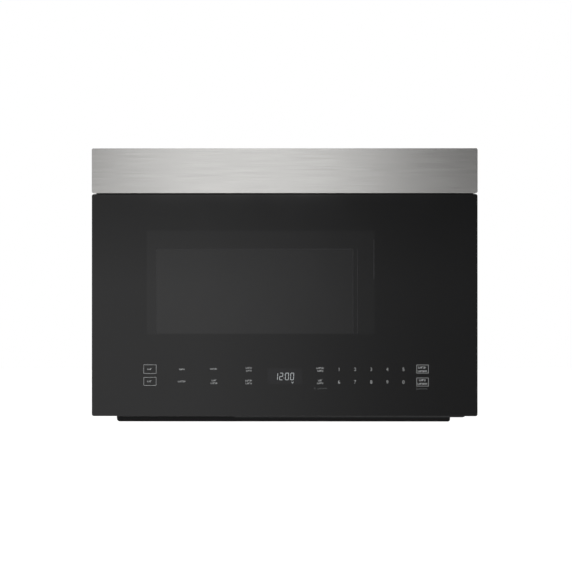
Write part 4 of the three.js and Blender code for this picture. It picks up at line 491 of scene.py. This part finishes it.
STEEL = brushed_stainless()
GLASS = black_ceramic_glass()
WINDOW = window_glass("dot_enamelled_window_glass", 0.62, "#101011", "#131314")
WINDOW_RIM = window_glass("dense_dot_enamelled_glass", 0.55, "#0B0B0C", "#0E0E0F")
EDGE = ground_edge()
ABS = moulded_abs()
PAINT = powder_coat()
PAN = pan_coat()
ZINC = galvanised()
ENAMEL = grey_enamel()
CLEAR = pressed_glass()
LENS = frosted_lens()
WHITE = moulded_white()
MICA = mica_sheet()
ALUMINIUM = bare_aluminium()
CHARCOAL = charcoal_grains()
COPPER = enamelled_copper()
BOARD = solder_mask()
RUBBER = soft_rubber()
INK = screen_ink()
LIT = lit_digits()
LINE = window_line("edge_of_painted_screen", "#19191B", "#212123")
# GLEAM is a lighter copy of the line: a painted highlight on the window's edge.
GLEAM = window_line("gleam_on_window_edge", "#303032", "#3C3C3E")
FAINT = faint_ink()
FIELD = display_field()
SCREEN = perforated_screen()
WOOL = aluminium_wool()

finishes = {"brushed_steel": STEEL, "black_glass": GLASS, "black_plastic": ABS, "black_paint": PAINT,
            "zinc_steel": ZINC, "grey_enamel": ENAMEL, "clear_glass": CLEAR, "white_plastic": WHITE,
            "mica": MICA, "aluminium": ALUMINIUM, "carbon": CHARCOAL, "copper": COPPER,
            "board_green": BOARD, "rubber": RUBBER}
slot_of = {row["node"]: row["material_slot"] for row in frame["record"]["subparts"]}
for name, part in nodes.items():
    part.data.materials.clear()
    part.data.materials.append(finishes[slot_of[name]])


# ---- The frame's own pieces, with eased edges -------------------------------------------------------
body_of = {node: body for body, held in frame["record"]["behaviour"]["bodies"].items() for node in held}


def eased(node, width, segments=2, material=None):
    """Copy of a solid whose sharp edges are rounded by width millimetres: doubles merged, flats dissolved."""
    mesh = nodes[node].data.copy()
    shell = bmesh.new()
    shell.from_mesh(mesh)
    bmesh.ops.remove_doubles(shell, verts=shell.verts, dist=2e-6)
    bmesh.ops.dissolve_limit(shell, angle_limit=math.radians(0.4), verts=shell.verts, edges=shell.edges)
    bmesh.ops.recalc_face_normals(shell, faces=shell.faces)
    shell.to_mesh(mesh)
    shell.free()
    mesh.materials.clear()
    mesh.materials.append(material or finishes[slot_of[node]])
    mesh.shade_smooth()
    made = bpy.data.objects.new("eased_" + node, mesh)
    scene.collection.objects.link(made)
    bevel = made.modifiers.new("eased_edges", "BEVEL")
    bevel.width, bevel.segments, bevel.limit_method = width / 1000.0, segments, "ANGLE"
    bevel.angle_limit = math.radians(35)
    made.modifiers.new("flat_faces_stay_flat", "WEIGHTED_NORMAL").weight = 90
    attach(made, body_of[node])
    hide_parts(node)
    return made


def lengthwise(made):
    """UV map named along: u runs with x and v with height, both in metres, so brushing lies level."""
    mesh = made.data
    points = np.empty(len(mesh.vertices) * 3)
    mesh.vertices.foreach_get("co", points)
    corners = np.empty(len(mesh.loops), int)
    mesh.loops.foreach_get("vertex_index", corners)
    x, y, z = points.reshape(-1, 3)[corners].T
    along = mesh.uv_layers.new(name="along")
    along.data.foreach_set("uv", np.column_stack([x + 0.5 * y, z + 0.25 * y]).ravel())


lengthwise(eased("trim_band", 0.6, 3))


def squarer_corner(made, right, old, new):
    """Lowers the radius of the pan's low right corner: points of its arcs, at radius r about the old centre,
    go to radius r - (old - new) about a centre as far in from the end and the underside as the new radius,
    at the same angle."""
    mesh = made.data
    points = np.empty(len(mesh.vertices) * 3)
    mesh.vertices.foreach_get("co", points)
    points = points.reshape(-1, 3)
    low = points[:, 2].min()
    aside, down = points[:, 0] - (right - old), (low + old) - points[:, 2]
    reach, angle = np.hypot(aside, down), np.arctan2(down, aside)
    arc = (aside > -1e-6) & (aside < old + 1e-6) & (down > -1e-6) & (reach > 0.7 * old)
    short = np.maximum(reach - (old - new), 0.0)
    points[arc, 0] = right - new + short[arc] * np.cos(angle[arc])
    points[arc, 2] = low + new - short[arc] * np.sin(angle[arc])
    mesh.vertices.foreach_set("co", points.ravel())
    mesh.update()


squarer_corner(eased("base_pan", 0.35, 2, PAN), PAN_RIGHT / 1000.0, 0.010, 0.0055)
EASED = {"door_frame": 0.6, "door_grip": 0.7, "choke_cover": 0.5, "front_frame": 0.3, "case_wrap": 0.35,
         "back_panel": 0.3, "wall_plate": 0.3, "oven_cavity": 0.3, "latch_cover": 0.4, "latch_bar": 0.4,
         "turntable_hub": 0.5, "roller_ring": 0.6, "interlock_bracket": 0.4, "fan_shroud": 0.5,
         "transformer": 0.8, "magnetron": 0.3, "cord_gland": 0.6, "upper_hinge": 0.4, "lower_hinge": 0.4,
         "cavity_lamp": 0.4}  # bevel of each node, in millimetres
for node, width in EASED.items():
    eased(node, width)
nodes["door_screen"].data.materials[0] = SCREEN
for side in ("left", "right"):
    nodes["lamp_lens_" + side].data.materials[0] = LENS


# ---- Door glass and what is printed on it -----------------------------------------------------------
PIXEL = 1.9663  # millimetres to a pixel of the front view
VIEW_LEFT, VIEW_LOW = 91.56, 416.25  # the glass's left and lower edges in that view, in pixels


def picture(x, y):
    """Place on the face, in millimetres from its middle and above the pan, of a point of the view."""
    return (x - VIEW_LEFT) * PIXEL - FACE_HALF, GLASS_LOW + (VIEW_LOW - y) * PIXEL


def door_glass():
    """Glass slab: round-cornered loops from back to front, then in to the window and its screen, capped."""
    rows = [(-336.0, 0.6), (-336.3, 0.0), (GLASS_Y + 0.9, 0.0), (GLASS_Y + 0.45, 0.12), (GLASS_Y + 0.12, 0.45),
            (GLASS_Y, 0.9)]
    loops = [facing_front(rounded_loop(-FACE_HALF + i, FACE_HALF - i, GLASS_LOW + i, GLASS_TOP - i,
                                       4.0 - i, 9), y) for y, i in rows]
    loops += [facing_front(rounded_loop(*sides, 2.0, 9), GLASS_Y) for sides in (window_sides, screen_sides)]
    made = piece("door_glass_slab", *loft(loops), "door", "black_glass", GLASS, ("door_glass",), 20)
    for material in (EDGE, WINDOW_RIM, WINDOW):
        made.data.materials.append(material)
    ring, last = len(loops[0]), len(rows) - 1
    zones = [1] * (ring * last) + [0] * ring + [2] * ring + [0, 3]
    made.data.polygons.foreach_set("material_index", zones)
    made.modifiers.new("flat_faces_stay_flat", "WEIGHTED_NORMAL").weight = 90
    return made


window_sides = (-271.1, 177.2, 176.3, 380.2)
screen_sides = (picture(156.2, 0)[0], picture(353.0, 0)[0], window_sides[2] + 1.5, picture(0, 249.0)[1])
door_glass()


def strips(lines, width, front=PRINT_Y):
    """Straight printed lines as thin plates: each goes from one (x, height) to another, level or upright."""
    rows = []
    for x0, z0, x1, z1 in lines:
        rows.append([min(x0, x1) - width / 2, max(x0, x1) + width / 2, front, GLASS_Y + 0.02,
                     min(z0, z1) - width / 2, max(z0, z1) + width / 2])
    return boxes(rows)


def outline_box(x0, z0, x1, z1):
    """The four lines of a box."""
    return [(x0, z0, x1, z0), (x0, z1, x1, z1), (x0, z0, x0, z1), (x1, z0, x1, z1)]


def word(x, z, length, height=2.6):
    """A key's word as a row of short upright and level strokes, about a letter each, centred on x and z."""
    letters = max(2, round(length / 2.9))
    pitch = length / letters
    rows = []
    for k in range(letters):
        left = x - length / 2 + k * pitch
        right = left + 0.7 * pitch
        low, top = z - height / 2, z + height / 2
        rows.append((left, low, left, top))
        rows.append((left, (low, z, top)[k % 3], right, (low, z, top)[k % 3]))
        if k % 2:
            rows.append((right, low, right, top))
    return rows


def figure(text, x, z, height):
    """A digit of the plain built-in typeface, height millimetres high, centred on x and z: a thin plate."""
    curve = bpy.data.curves.new("figure_" + text, "FONT")
    curve.body, curve.extrude, curve.resolution_u, curve.offset = text, 0.01, 3, -0.016
    held = bpy.data.objects.new("figure_" + text, curve)
    mesh = held.to_mesh()
    points = np.empty(len(mesh.vertices) * 3)
    mesh.vertices.foreach_get("co", points)
    points = points.reshape(-1, 3)
    low, high = points.min(axis=0), points.max(axis=0)
    scale = height / (high[1] - low[1])
    flat = (points - (low + high) / 2) * scale
    depth = np.where(points[:, 2] > 0, PRINT_Y, GLASS_Y + 0.02)
    faces = [list(face.vertices) for face in mesh.polygons]
    held.to_mesh_clear()
    bpy.data.objects.remove(held)
    bpy.data.curves.remove(curve)
    return np.column_stack([x + flat[:, 0], depth, z + flat[:, 1]]), faces


def key_words():
    """Strokes of the keys' words, from x, height and length in millimetres, with second lines below."""
    single = [(-201.8, 92.3, 10.4), (-201.7, 68.3, 15.3), (-139.1, 92.9, 13.9), (-265.0, 92.5, 8.6),
              (-265.3, 68.5, 8.4)]
    double = [(-138.2, 67.6, 9.8, 14.4), (-69.9, 92.3, 11.9, 10.9), (-70.3, 67.3, 13.6, 12.4),
              (70.7, 91.9, 15.9, 10.9), (70.4, 67.6, 8.2, 12.0)]
    lines = [stroke for x, rise, long in single for stroke in word(x, GLASS_LOW + rise, long)]
    for x, rise, upper, lower in double:
        lines += word(x, GLASS_LOW + rise + 2.7, upper) + word(x, GLASS_LOW + rise - 2.7, lower)
    return lines


def key_print():
    """All the lighter print: outlines of the four end keys, words, and the figures 1 to 9 and 0."""
    ends = [(-277.2, 83.9, -252.7, 101.1), (-277.2, 60.4, -252.7, 76.4), (259.8, 84.9, 282.8, 100.9),
            (259.8, 59.3, 282.8, 75.3)]
    outlines = [line for x0, z0, x1, z1 in ends
                for line in outline_box(x0, GLASS_LOW + z0, x1, GLASS_LOW + z1)]
    figures = [figure("1234567890"[k], 107.2 + 31.6 * (k % 5), GLASS_LOW + (92.2, 67.3)[k // 5], 6.5)
               for k in range(10)]
    right = []
    for rise, upper, lower in ((92.4, 15.4, 17.4), (67.6, 12.8, 18.4)):
        right += word(271.2, GLASS_LOW + rise + 3.4, upper, 3.2)
        right += word(271.2, GLASS_LOW + rise - 3.8, lower, 2.8)
    return merged(strips(outlines, 0.55), strips(key_words(), 0.55), strips(right, 0.62), *figures)


def faint_print():
    """The dimmer small print: a line under the option keys, and a marked line under the right-hand box."""
    below = word(74.2, GLASS_LOW + 54.6, 18.6, 1.8)
    below += outline_box(58.0, GLASS_LOW + 53.6, 60.4, GLASS_LOW + 55.8)
    bracket = [(259.8, GLASS_LOW + 51.5, 259.8, GLASS_LOW + 57.0)]
    return strips(below + bracket + word(271.5, GLASS_LOW + 54.0, 21.0, 1.8), 0.4)


def segment_digit(lit, x, z, width, height, thick, lean):
    """Seven-segment digit: each lit bar is a six-sided plate, and every point leans right with its height."""
    half, mid = width / 2 - thick / 2, height / 2 - thick / 2
    ends = {"a": (-half, mid, half, mid), "g": (-half, 0, half, 0), "d": (-half, -mid, half, -mid),
            "f": (-half, 0, -half, mid), "b": (half, 0, half, mid), "e": (-half, -mid, -half, 0),
            "c": (half, -mid, half, 0)}
    parts = []
    for name in lit:
        x0, z0, x1, z1 = ends[name]
        start, end = np.array([x0, z0]), np.array([x1, z1])
        run = (end - start) / np.linalg.norm(end - start)
        side = np.array([-run[1], run[0]]) * thick / 2
        start, end = start + run * 0.12 * thick, end - run * 0.12 * thick
        tip = run * thick / 2
        six = np.array([start, start + tip - side, end - tip - side, end, end - tip + side,
                        start + tip + side])
        six[:, 0] += six[:, 1] * lean
        six += [x, z]
        parts.append(loft([facing_front(six, PRINT_Y - 0.03), facing_front(six, GLASS_Y - 0.1)]))
    return parts


def clock():
    """A clock at noon in seven-segment digits with a colon, and the small mark under it."""
    shapes = {"1": "bc", "2": "abged", "0": "abcdef"}
    z = GLASS_LOW + 78.2
    parts = []
    for digit, x in zip("1200", (-16.6, -6.6, 4.8, 14.9)):
        parts += segment_digit(shapes[digit], x, z, 6.9, 14.2, 0.95, 0.06)
    dots = [[-1.5 + d, -0.5 + d, PRINT_Y - 0.03, GLASS_Y - 0.1, z + h - 0.5, z + h + 0.5]
            for d, h in ((0.0, -3.0), (0.4, 3.0))]
    mark_x, mark_z = picture(292.5, 382.6)
    arm = np.array([[2.4, 1.5], [1.5, 1.5], [0, -0.7], [0, -1.9]])
    chevron = [arm * (-1, 1), arm]
    for half in chevron:
        shape = half + [mark_x, mark_z]
        parts.append(loft([facing_front(shape, PRINT_Y - 0.03), facing_front(shape, GLASS_Y - 0.1)]))
    return merged(*parts, boxes(dots))


piece("key_print", *key_print(), "door", "white_plastic", INK)
piece("faint_print", *faint_print(), "door", "white_plastic", FAINT)
piece("display_field", *front_slab(-33.5, 34.7, GLASS_LOW + 63.4, GLASS_LOW + 94.3, 1.0, GLASS_Y - 0.08,
                                   GLASS_Y + 0.05, 0.02, 4), "door", "black_glass", FIELD, smooth=1)
piece("clock_digits", *clock(), "door", "white_plastic", LIT)


def window_lines():
    """Edges of the screen seen through the window: a left line, a top line and two on the right."""
    left, right, low, top = screen_sides
    beyond = right + 8.7
    return [(left, low, left, top), (left, top, right, top), (right, low, right, top),
            (beyond, low, beyond, top)]


piece("screen_edges", *strips(window_lines(), 0.8, GLASS_Y - 0.06), "door", "black_glass", LINE)
# window_end is a painted highlight: a lighter grey line down the window's right edge, where light catches it.
end_x, end_low = picture(373.9, 279.0)
end_top = picture(0, 240.0)[1]
piece("window_end", *strips([(end_x, end_low, end_x, end_top)], 0.6, GLASS_Y - 0.06), "door", "black_glass",
      GLEAM)


# ---- Underside --------------------------------------------------------------------------------------
FILTER_Y = (-194.0, -52.0)


def filter_frame(x0, x1):
    """Folded aluminium rim of a grease filter: one section of eight points carried round a rectangle."""
    section = [(0.7, 0.0), (0.0, 0.7), (0.0, 7.3), (0.7, 8.0), (8.3, 8.0), (9.0, 7.3), (9.0, 0.7),
               (8.3, 0.0)]
    return tube([facing_up(rounded_loop(x0 + d, x1 - d, FILTER_Y[0] + d, FILTER_Y[1] - d, 4.0, 5), z)
                 for d, z in section])


def expanded_mesh(x0, x1, y0, y1, z, rows, cell, strand, shift):
    """Expanded metal: each strand zigzags in y by half a row as x goes on, in antiphase with its neighbours."""
    count = int((x1 - x0) / cell) * 4 + 1
    x = np.linspace(x0, x1, count)
    pitch = (y1 - y0) / rows
    wave = np.clip(2.0 * np.abs(((x - x0) / cell + 0.25 * shift) % 1.0 * 2 - 1) - 1.0, -0.75, 0.75) / 0.75
    k = np.arange(rows)[:, None]
    middle = y0 + (k + 0.5) * pitch + np.where(k % 2, -1, 1) * wave[None] * (pitch - strand) / 2
    tilt = 0.35 * strand
    section = np.array([[-strand / 2, -tilt - 0.35], [strand / 2, tilt - 0.35],
                        [strand / 2, tilt + 0.35], [-strand / 2, -tilt + 0.35]])
    points = np.empty((rows, count, 4, 3))
    points[..., 0] = x[None, :, None]
    points[..., 1] = middle[..., None] + section[None, None, :, 0]
    points[..., 2] = z + section[None, None, :, 1]
    station = (np.arange(rows)[:, None] * count + np.arange(count - 1)[None]).ravel() * 4
    corner = np.arange(4)
    quads = np.stack([station[:, None] + corner, station[:, None] + 4 + corner,
                      station[:, None] + 4 + (corner + 1) % 4, station[:, None] + (corner + 1) % 4], axis=-1)
    first = (np.arange(rows) * count * 4)[:, None] + corner[::-1]
    last = (np.arange(rows) * count * 4 + (count - 1) * 4)[:, None] + corner
    return points.reshape(-1, 3), quads.reshape(-1, 4).tolist() + first.tolist() + last.tolist()


def pull_ring(x, y, radius, wire):
    """Wire ring lying flat: a circle of radius wire carried round a circle of the ring's radius."""
    u, v = np.meshgrid(np.linspace(0, 2 * math.pi, 33)[:-1], np.linspace(0, 2 * math.pi, 9)[:-1],
                       indexing="ij")
    reach = radius + wire * np.cos(v)
    loops = np.stack([x + reach * np.cos(u), y + reach * np.sin(u), 1.4 + wire + wire * np.sin(v)], axis=-1)
    return tube(loops)


for side, middle in (("left", -186.0), ("right", 50.0)):
    x0, x1 = middle - 98.0, middle + 98.0
    inside = (x0 + 8.0, x1 - 8.0, FILTER_Y[0] + 8.0, FILTER_Y[1] - 8.0)
    body = "filter_" + side
    rim = merged(filter_frame(x0, x1), pull_ring(middle, FILTER_Y[0] + 13.0, 5.2, 0.8))
    mesh = merged(expanded_mesh(*inside, 1.7, 30, 9.0, 1.1, 0),
                  expanded_mesh(*inside, 3.3, 34, 8.0, 0.9, 1))
    piece("filter_rim_" + side, *rim, body, "aluminium", ALUMINIUM, ("grease_filter_" + side,), 40)
    piece("filter_mesh_" + side, *mesh, body, "aluminium", ALUMINIUM)
    piece("filter_wool_" + side, *boxes([[*inside, 4.4, 6.0]]), body, "aluminium", WOOL)


# ---- Turntable --------------------------------------------------------------------------------------
def turned(profile, x, y, count=96):
    """Lathe: each (radius, height) of a profile turned about the upright axis at x, y, where its ends lie."""
    profile = np.asarray(profile, float)
    angle = np.arange(count) * 2 * math.pi / count
    rings = profile[1:-1]
    points = np.stack([x + rings[:, 0, None] * np.cos(angle), y + rings[:, 0, None] * np.sin(angle),
                       np.repeat(rings[:, 1, None], count, axis=1)], axis=-1).reshape(-1, 3)
    start, end = len(points), len(points) + 1
    points = np.concatenate([points, [[x, y, profile[0, 1]], [x, y, profile[-1, 1]]]])
    k = np.arange(count)
    faces = sum([joined(r, r + 1, count) for r in range(len(rings) - 1)], [])
    faces += np.column_stack([np.full(count, start), (k + 1) % count, k]).tolist()
    last = (len(rings) - 1) * count
    faces += np.column_stack([np.full(count, end), last + k, last + (k + 1) % count]).tolist()
    return points, faces


def glass_tray():
    """Pressed glass plate: flat, with shallow rings moulded in its top and a softly rising rim."""
    low, thick, rim = TRAY_LOW, 5.0, 126.0
    rings = []
    for radius in np.arange(16.0, 112.0, 12.0):
        rings += [(radius - 0.8, low + thick), (radius, low + thick - 0.5), (radius + 0.8, low + thick)]
    curve = [(rim - 11 + 7 * t, low + thick + 8.0 * t ** 2) for t in np.linspace(0, 1, 7)]
    under = [(rim - 10 + 9 * t, low + 8.5 * t ** 1.8) for t in np.linspace(0, 1, 7)]
    lip = [(rim - 0.1, low + 11.5), (rim - 0.5, low + 13.2), (rim - 1.6, low + 13.9), (rim - 3.0, low + 13.6)]
    return turned([(0, low)] + under + lip + curve[::-1] + rings[::-1] + [(0, low + thick)], *TRAY_XY)


TRAY_LOW = 178.6
TRAY_XY = (-47.0, -162.7)
piece("tray_plate", *glass_tray(), "tray", "clear_glass", CLEAR, ("glass_tray",), 50)


# ---- Screws -----------------------------------------------------------------------------------------
def screw_heads(places, radius=3.6, height=1.5):
    """Pan-head screws: a dome over radius and angle, lowered in a pressed cross of half width 0.5 mm."""
    r, a = np.meshgrid(np.array([0.0001, 0.5, 0.9, 1.3, 1.8, 2.1, 2.8, 3.4, 3.6]) * radius / 3.6,
                       np.arange(24) * 2 * math.pi / 24, indexing="ij")
    u, v = r * np.cos(a), r * np.sin(a)
    rise = height * np.sqrt(np.clip(1 - (r / radius) ** 2.6, 0, 1))
    cross = (np.minimum(np.abs(u), np.abs(v)) < 0.5) & (r < 2.0 * radius / 3.6)
    rise = np.where(cross, rise - 0.9, rise)
    rise[-1] = -0.2
    parts = []
    for spot, out, across in places:
        out, across = np.array(out, float), np.array(across, float)
        other = np.cross(out, across)
        loops = (np.array(spot, float) + rise[..., None] * out + u[..., None] * across + v[..., None] * other)
        parts.append(loft(loops))
    return merged(*parts)


X, Y, UP = (1, 0, 0), (0, 1, 0), (0, 0, 1)
side_screws = [((s * 376.0, y, z), (s, 0, 0), Y)
               for s in (-1, 1) for y in (-284.0, -24.0) for z in (60.0, 280.0, 500.0)]
top_screws = [((x, -290.0, 540.0), UP, X) for x in (-340.0, -170.0, 0.0, 170.0, 340.0)]
flange_screws = [((x, y, 18.0), (0, 0, -1), X) for x in (-355.0, 355.0) for y in (-280.0, -150.0, -30.0)]
back_screws = [((x, -3.3, z), Y, X) for x in (-368.0, 0.0, 368.0) for z in (36.0, 80.0, 462.0, 528.0)]
case_screws = side_screws + top_screws + flange_screws
piece("case_screws", *screw_heads(case_screws), "case", "black_paint", PAINT, (), 40)
piece("back_screws", *screw_heads(back_screws), "case", "zinc_steel", ZINC, (), 40)


# ---- Camera, light and floor ------------------------------------------------------------------------
def aim(thing, place, target):
    """Puts a camera or lamp at a place and turns it so that it looks at the target with its top up."""
    thing.location = place
    thing.rotation_euler = (Vector(target) - Vector(place)).to_track_quat("-Z", "Y").to_euler()
    scene.collection.objects.link(thing)
    return thing


lens = bpy.data.cameras.new("camera")
lens.lens, lens.sensor_width, lens.clip_end = 96.0, 36.0, 50.0
scene.camera = aim(bpy.data.objects.new("camera", lens), (0.0206, -3.34, 0.0011), (0.00283, -0.34, 0.0011))


def soft_lamp(name, place, target, width, height, power):
    """Rectangular soft light of the given size in metres and power in watts."""
    light = bpy.data.lights.new(name, "AREA")
    light.shape, light.size, light.size_y, light.energy = "RECTANGLE", width, height, power
    return aim(bpy.data.objects.new(name, light), place, target)


soft_lamp("high_left_softbox", (-2.6, -2.6, 2.6), (0, -0.1, 0), 1.8, 1.8, 34)
soft_lamp("high_right_softbox", (2.8, -1.6, 2.4), (0, -0.1, 0), 1.8, 1.8, 26)
soft_lamp("rear_softbox", (0.6, 2.6, 2.0), (0, -0.1, 0), 2.4, 1.6, 34)


def studio_world():
    """White to the camera. To reflections and bounces, a room whose grey runs over x in two ramps: one for
    low directions, which the door mirrors in the front view, and one above them, which the band mirrors
    there, with a narrow step between. Behind the oven it is an even grey."""
    made = bpy.data.worlds.new("studio")
    made.use_nodes = True
    tree = made.node_tree
    tree.nodes.clear()
    way = add(tree, "TexCoord").outputs["Generated"]
    axes = add(tree, "SeparateXYZ", {"Vector": way}).outputs
    level = ramp(tree, axes[0], LEVEL_SHADES)
    upright = ramp(tree, axes[0], BAND_SHADES)
    falloff = add(tree, "MapRange", {"Value": axes[2], "From Min": 0.0, "From Max": 0.057, "To Min": 1.02,
                                     "To Max": 0.72}).outputs[0]
    level = add(tree, "VectorMath", {0: level, "Scale": falloff}, operation="SCALE").outputs[0]
    rise = add(tree, "MapRange", {"Value": axes[2], "From Min": 0.06, "From Max": 0.16, "To Min": 2.1,
                                  "To Max": 0.35}).outputs[0]
    upright = add(tree, "VectorMath", {0: upright, "Scale": rise}, operation="SCALE").outputs[0]
    share = add(tree, "MapRange", {"Value": axes[2], "From Min": STEP[0], "From Max": STEP[1]}).outputs[0]
    room = add(tree, "Mix", {"Factor": share, 6: level, 7: upright}, data_type="RGBA").outputs[2]
    behind = add(tree, "MapRange", {"Value": axes[1], "From Min": -0.5, "From Max": 0.1}).outputs[0]
    round_room = add(tree, "Mix", {"Factor": behind, 6: room, 7: BACK_SHADE}, data_type="RGBA").outputs[2]
    seen = add(tree, "Background", {"Color": (1, 1, 1, 1), "Strength": 1.0}).outputs[0]
    lit = add(tree, "Background", {"Color": round_room, "Strength": ROOM_STRENGTH}).outputs[0]
    ray = add(tree, "LightPath").outputs["Is Camera Ray"]
    both = add(tree, "MixShader", {0: ray, 1: lit, 2: seen}).outputs[0]
    add(tree, "OutputWorld", {"Surface": both})
    return made


def ramp(tree, value, shades):
    """Colour ramp over the value from one end of the ramps to the other, with rows of place and grey."""
    place = add(tree, "MapRange", {"Value": value, "From Min": -RAMP_END, "From Max": RAMP_END}).outputs[0]
    made = add(tree, "ValToRGB", {"Fac": place})
    stops = made.color_ramp.elements
    while len(stops) < len(shades):
        stops.new(0.5)
    for stop, (x, grey) in zip(stops, shades):
        stop.position, stop.color = (x + RAMP_END) / (2 * RAMP_END), (grey, grey, grey, 1)
    return made.outputs[0]


ROOM_STRENGTH = 2.0
RAMP_END = 0.2  # both ramps run from minus this to this, in x of the direction
STEP = (0.0615, 0.068)  # from the low ramp to the upper one, in z of the direction
BACK_SHADE = (0.3, 0.3, 0.3, 1)
LEVEL_SHADES = [(-0.2, 0.41), (-0.131, 0.405), (-0.063, 0.39), (-0.007, 0.305), (0.029, 0.235),
                (0.059, 0.185), (0.095, 0.15), (0.115, 0.143), (0.2, 0.13)]
BAND_SHADES = [(-0.2, 0.05), (-0.135, 0.14), (-0.118, 0.42), (-0.095, 0.68), (-0.063, 0.92), (-0.03, 0.96),
               (0.016, 0.9), (0.036, 0.75), (0.069, 0.39), (0.095, 0.13), (0.115, 0.04), (0.2, 0.04)]
scene.world = studio_world()
scene.view_settings.view_transform = "Standard"


def pale_floor():
    """Plain pale floor below the oven: white, with a little light of its own, so it stays clean all over."""
    made, tree, shader = finish("pale_studio_floor", Roughness=0.9, Emission_Strength=0.75)
    tone = between(tree, grain(tree, 900.0, 2.0), "#F4F4F3", "#FAFAF9")
    tree.links.new(tone, shader.inputs["Base Color"])
    tree.links.new(tone, shader.inputs["Emission Color"])
    clear = add(tree, "BsdfTransparent").outputs[0]
    under = add(tree, "NewGeometry").outputs["Backfacing"]
    both = add(tree, "MixShader", {0: under, 1: shader.outputs[0], 2: clear}).outputs[0]
    tree.links.new(both, tree.nodes["Material Output"].inputs["Surface"])
    return made


floor_mesh = bpy.data.meshes.new("floor")
FLOOR_Z = -0.95
floor_mesh.from_pydata([(x, y, FLOOR_Z) for x, y in ((-14, -6), (14, -6), (14, 14), (-14, 14))], [],
                       [(0, 1, 2, 3)])
floor_mesh.materials.append(pale_floor())
floor = bpy.data.objects.new("floor", floor_mesh)
scene.collection.objects.link(floor)
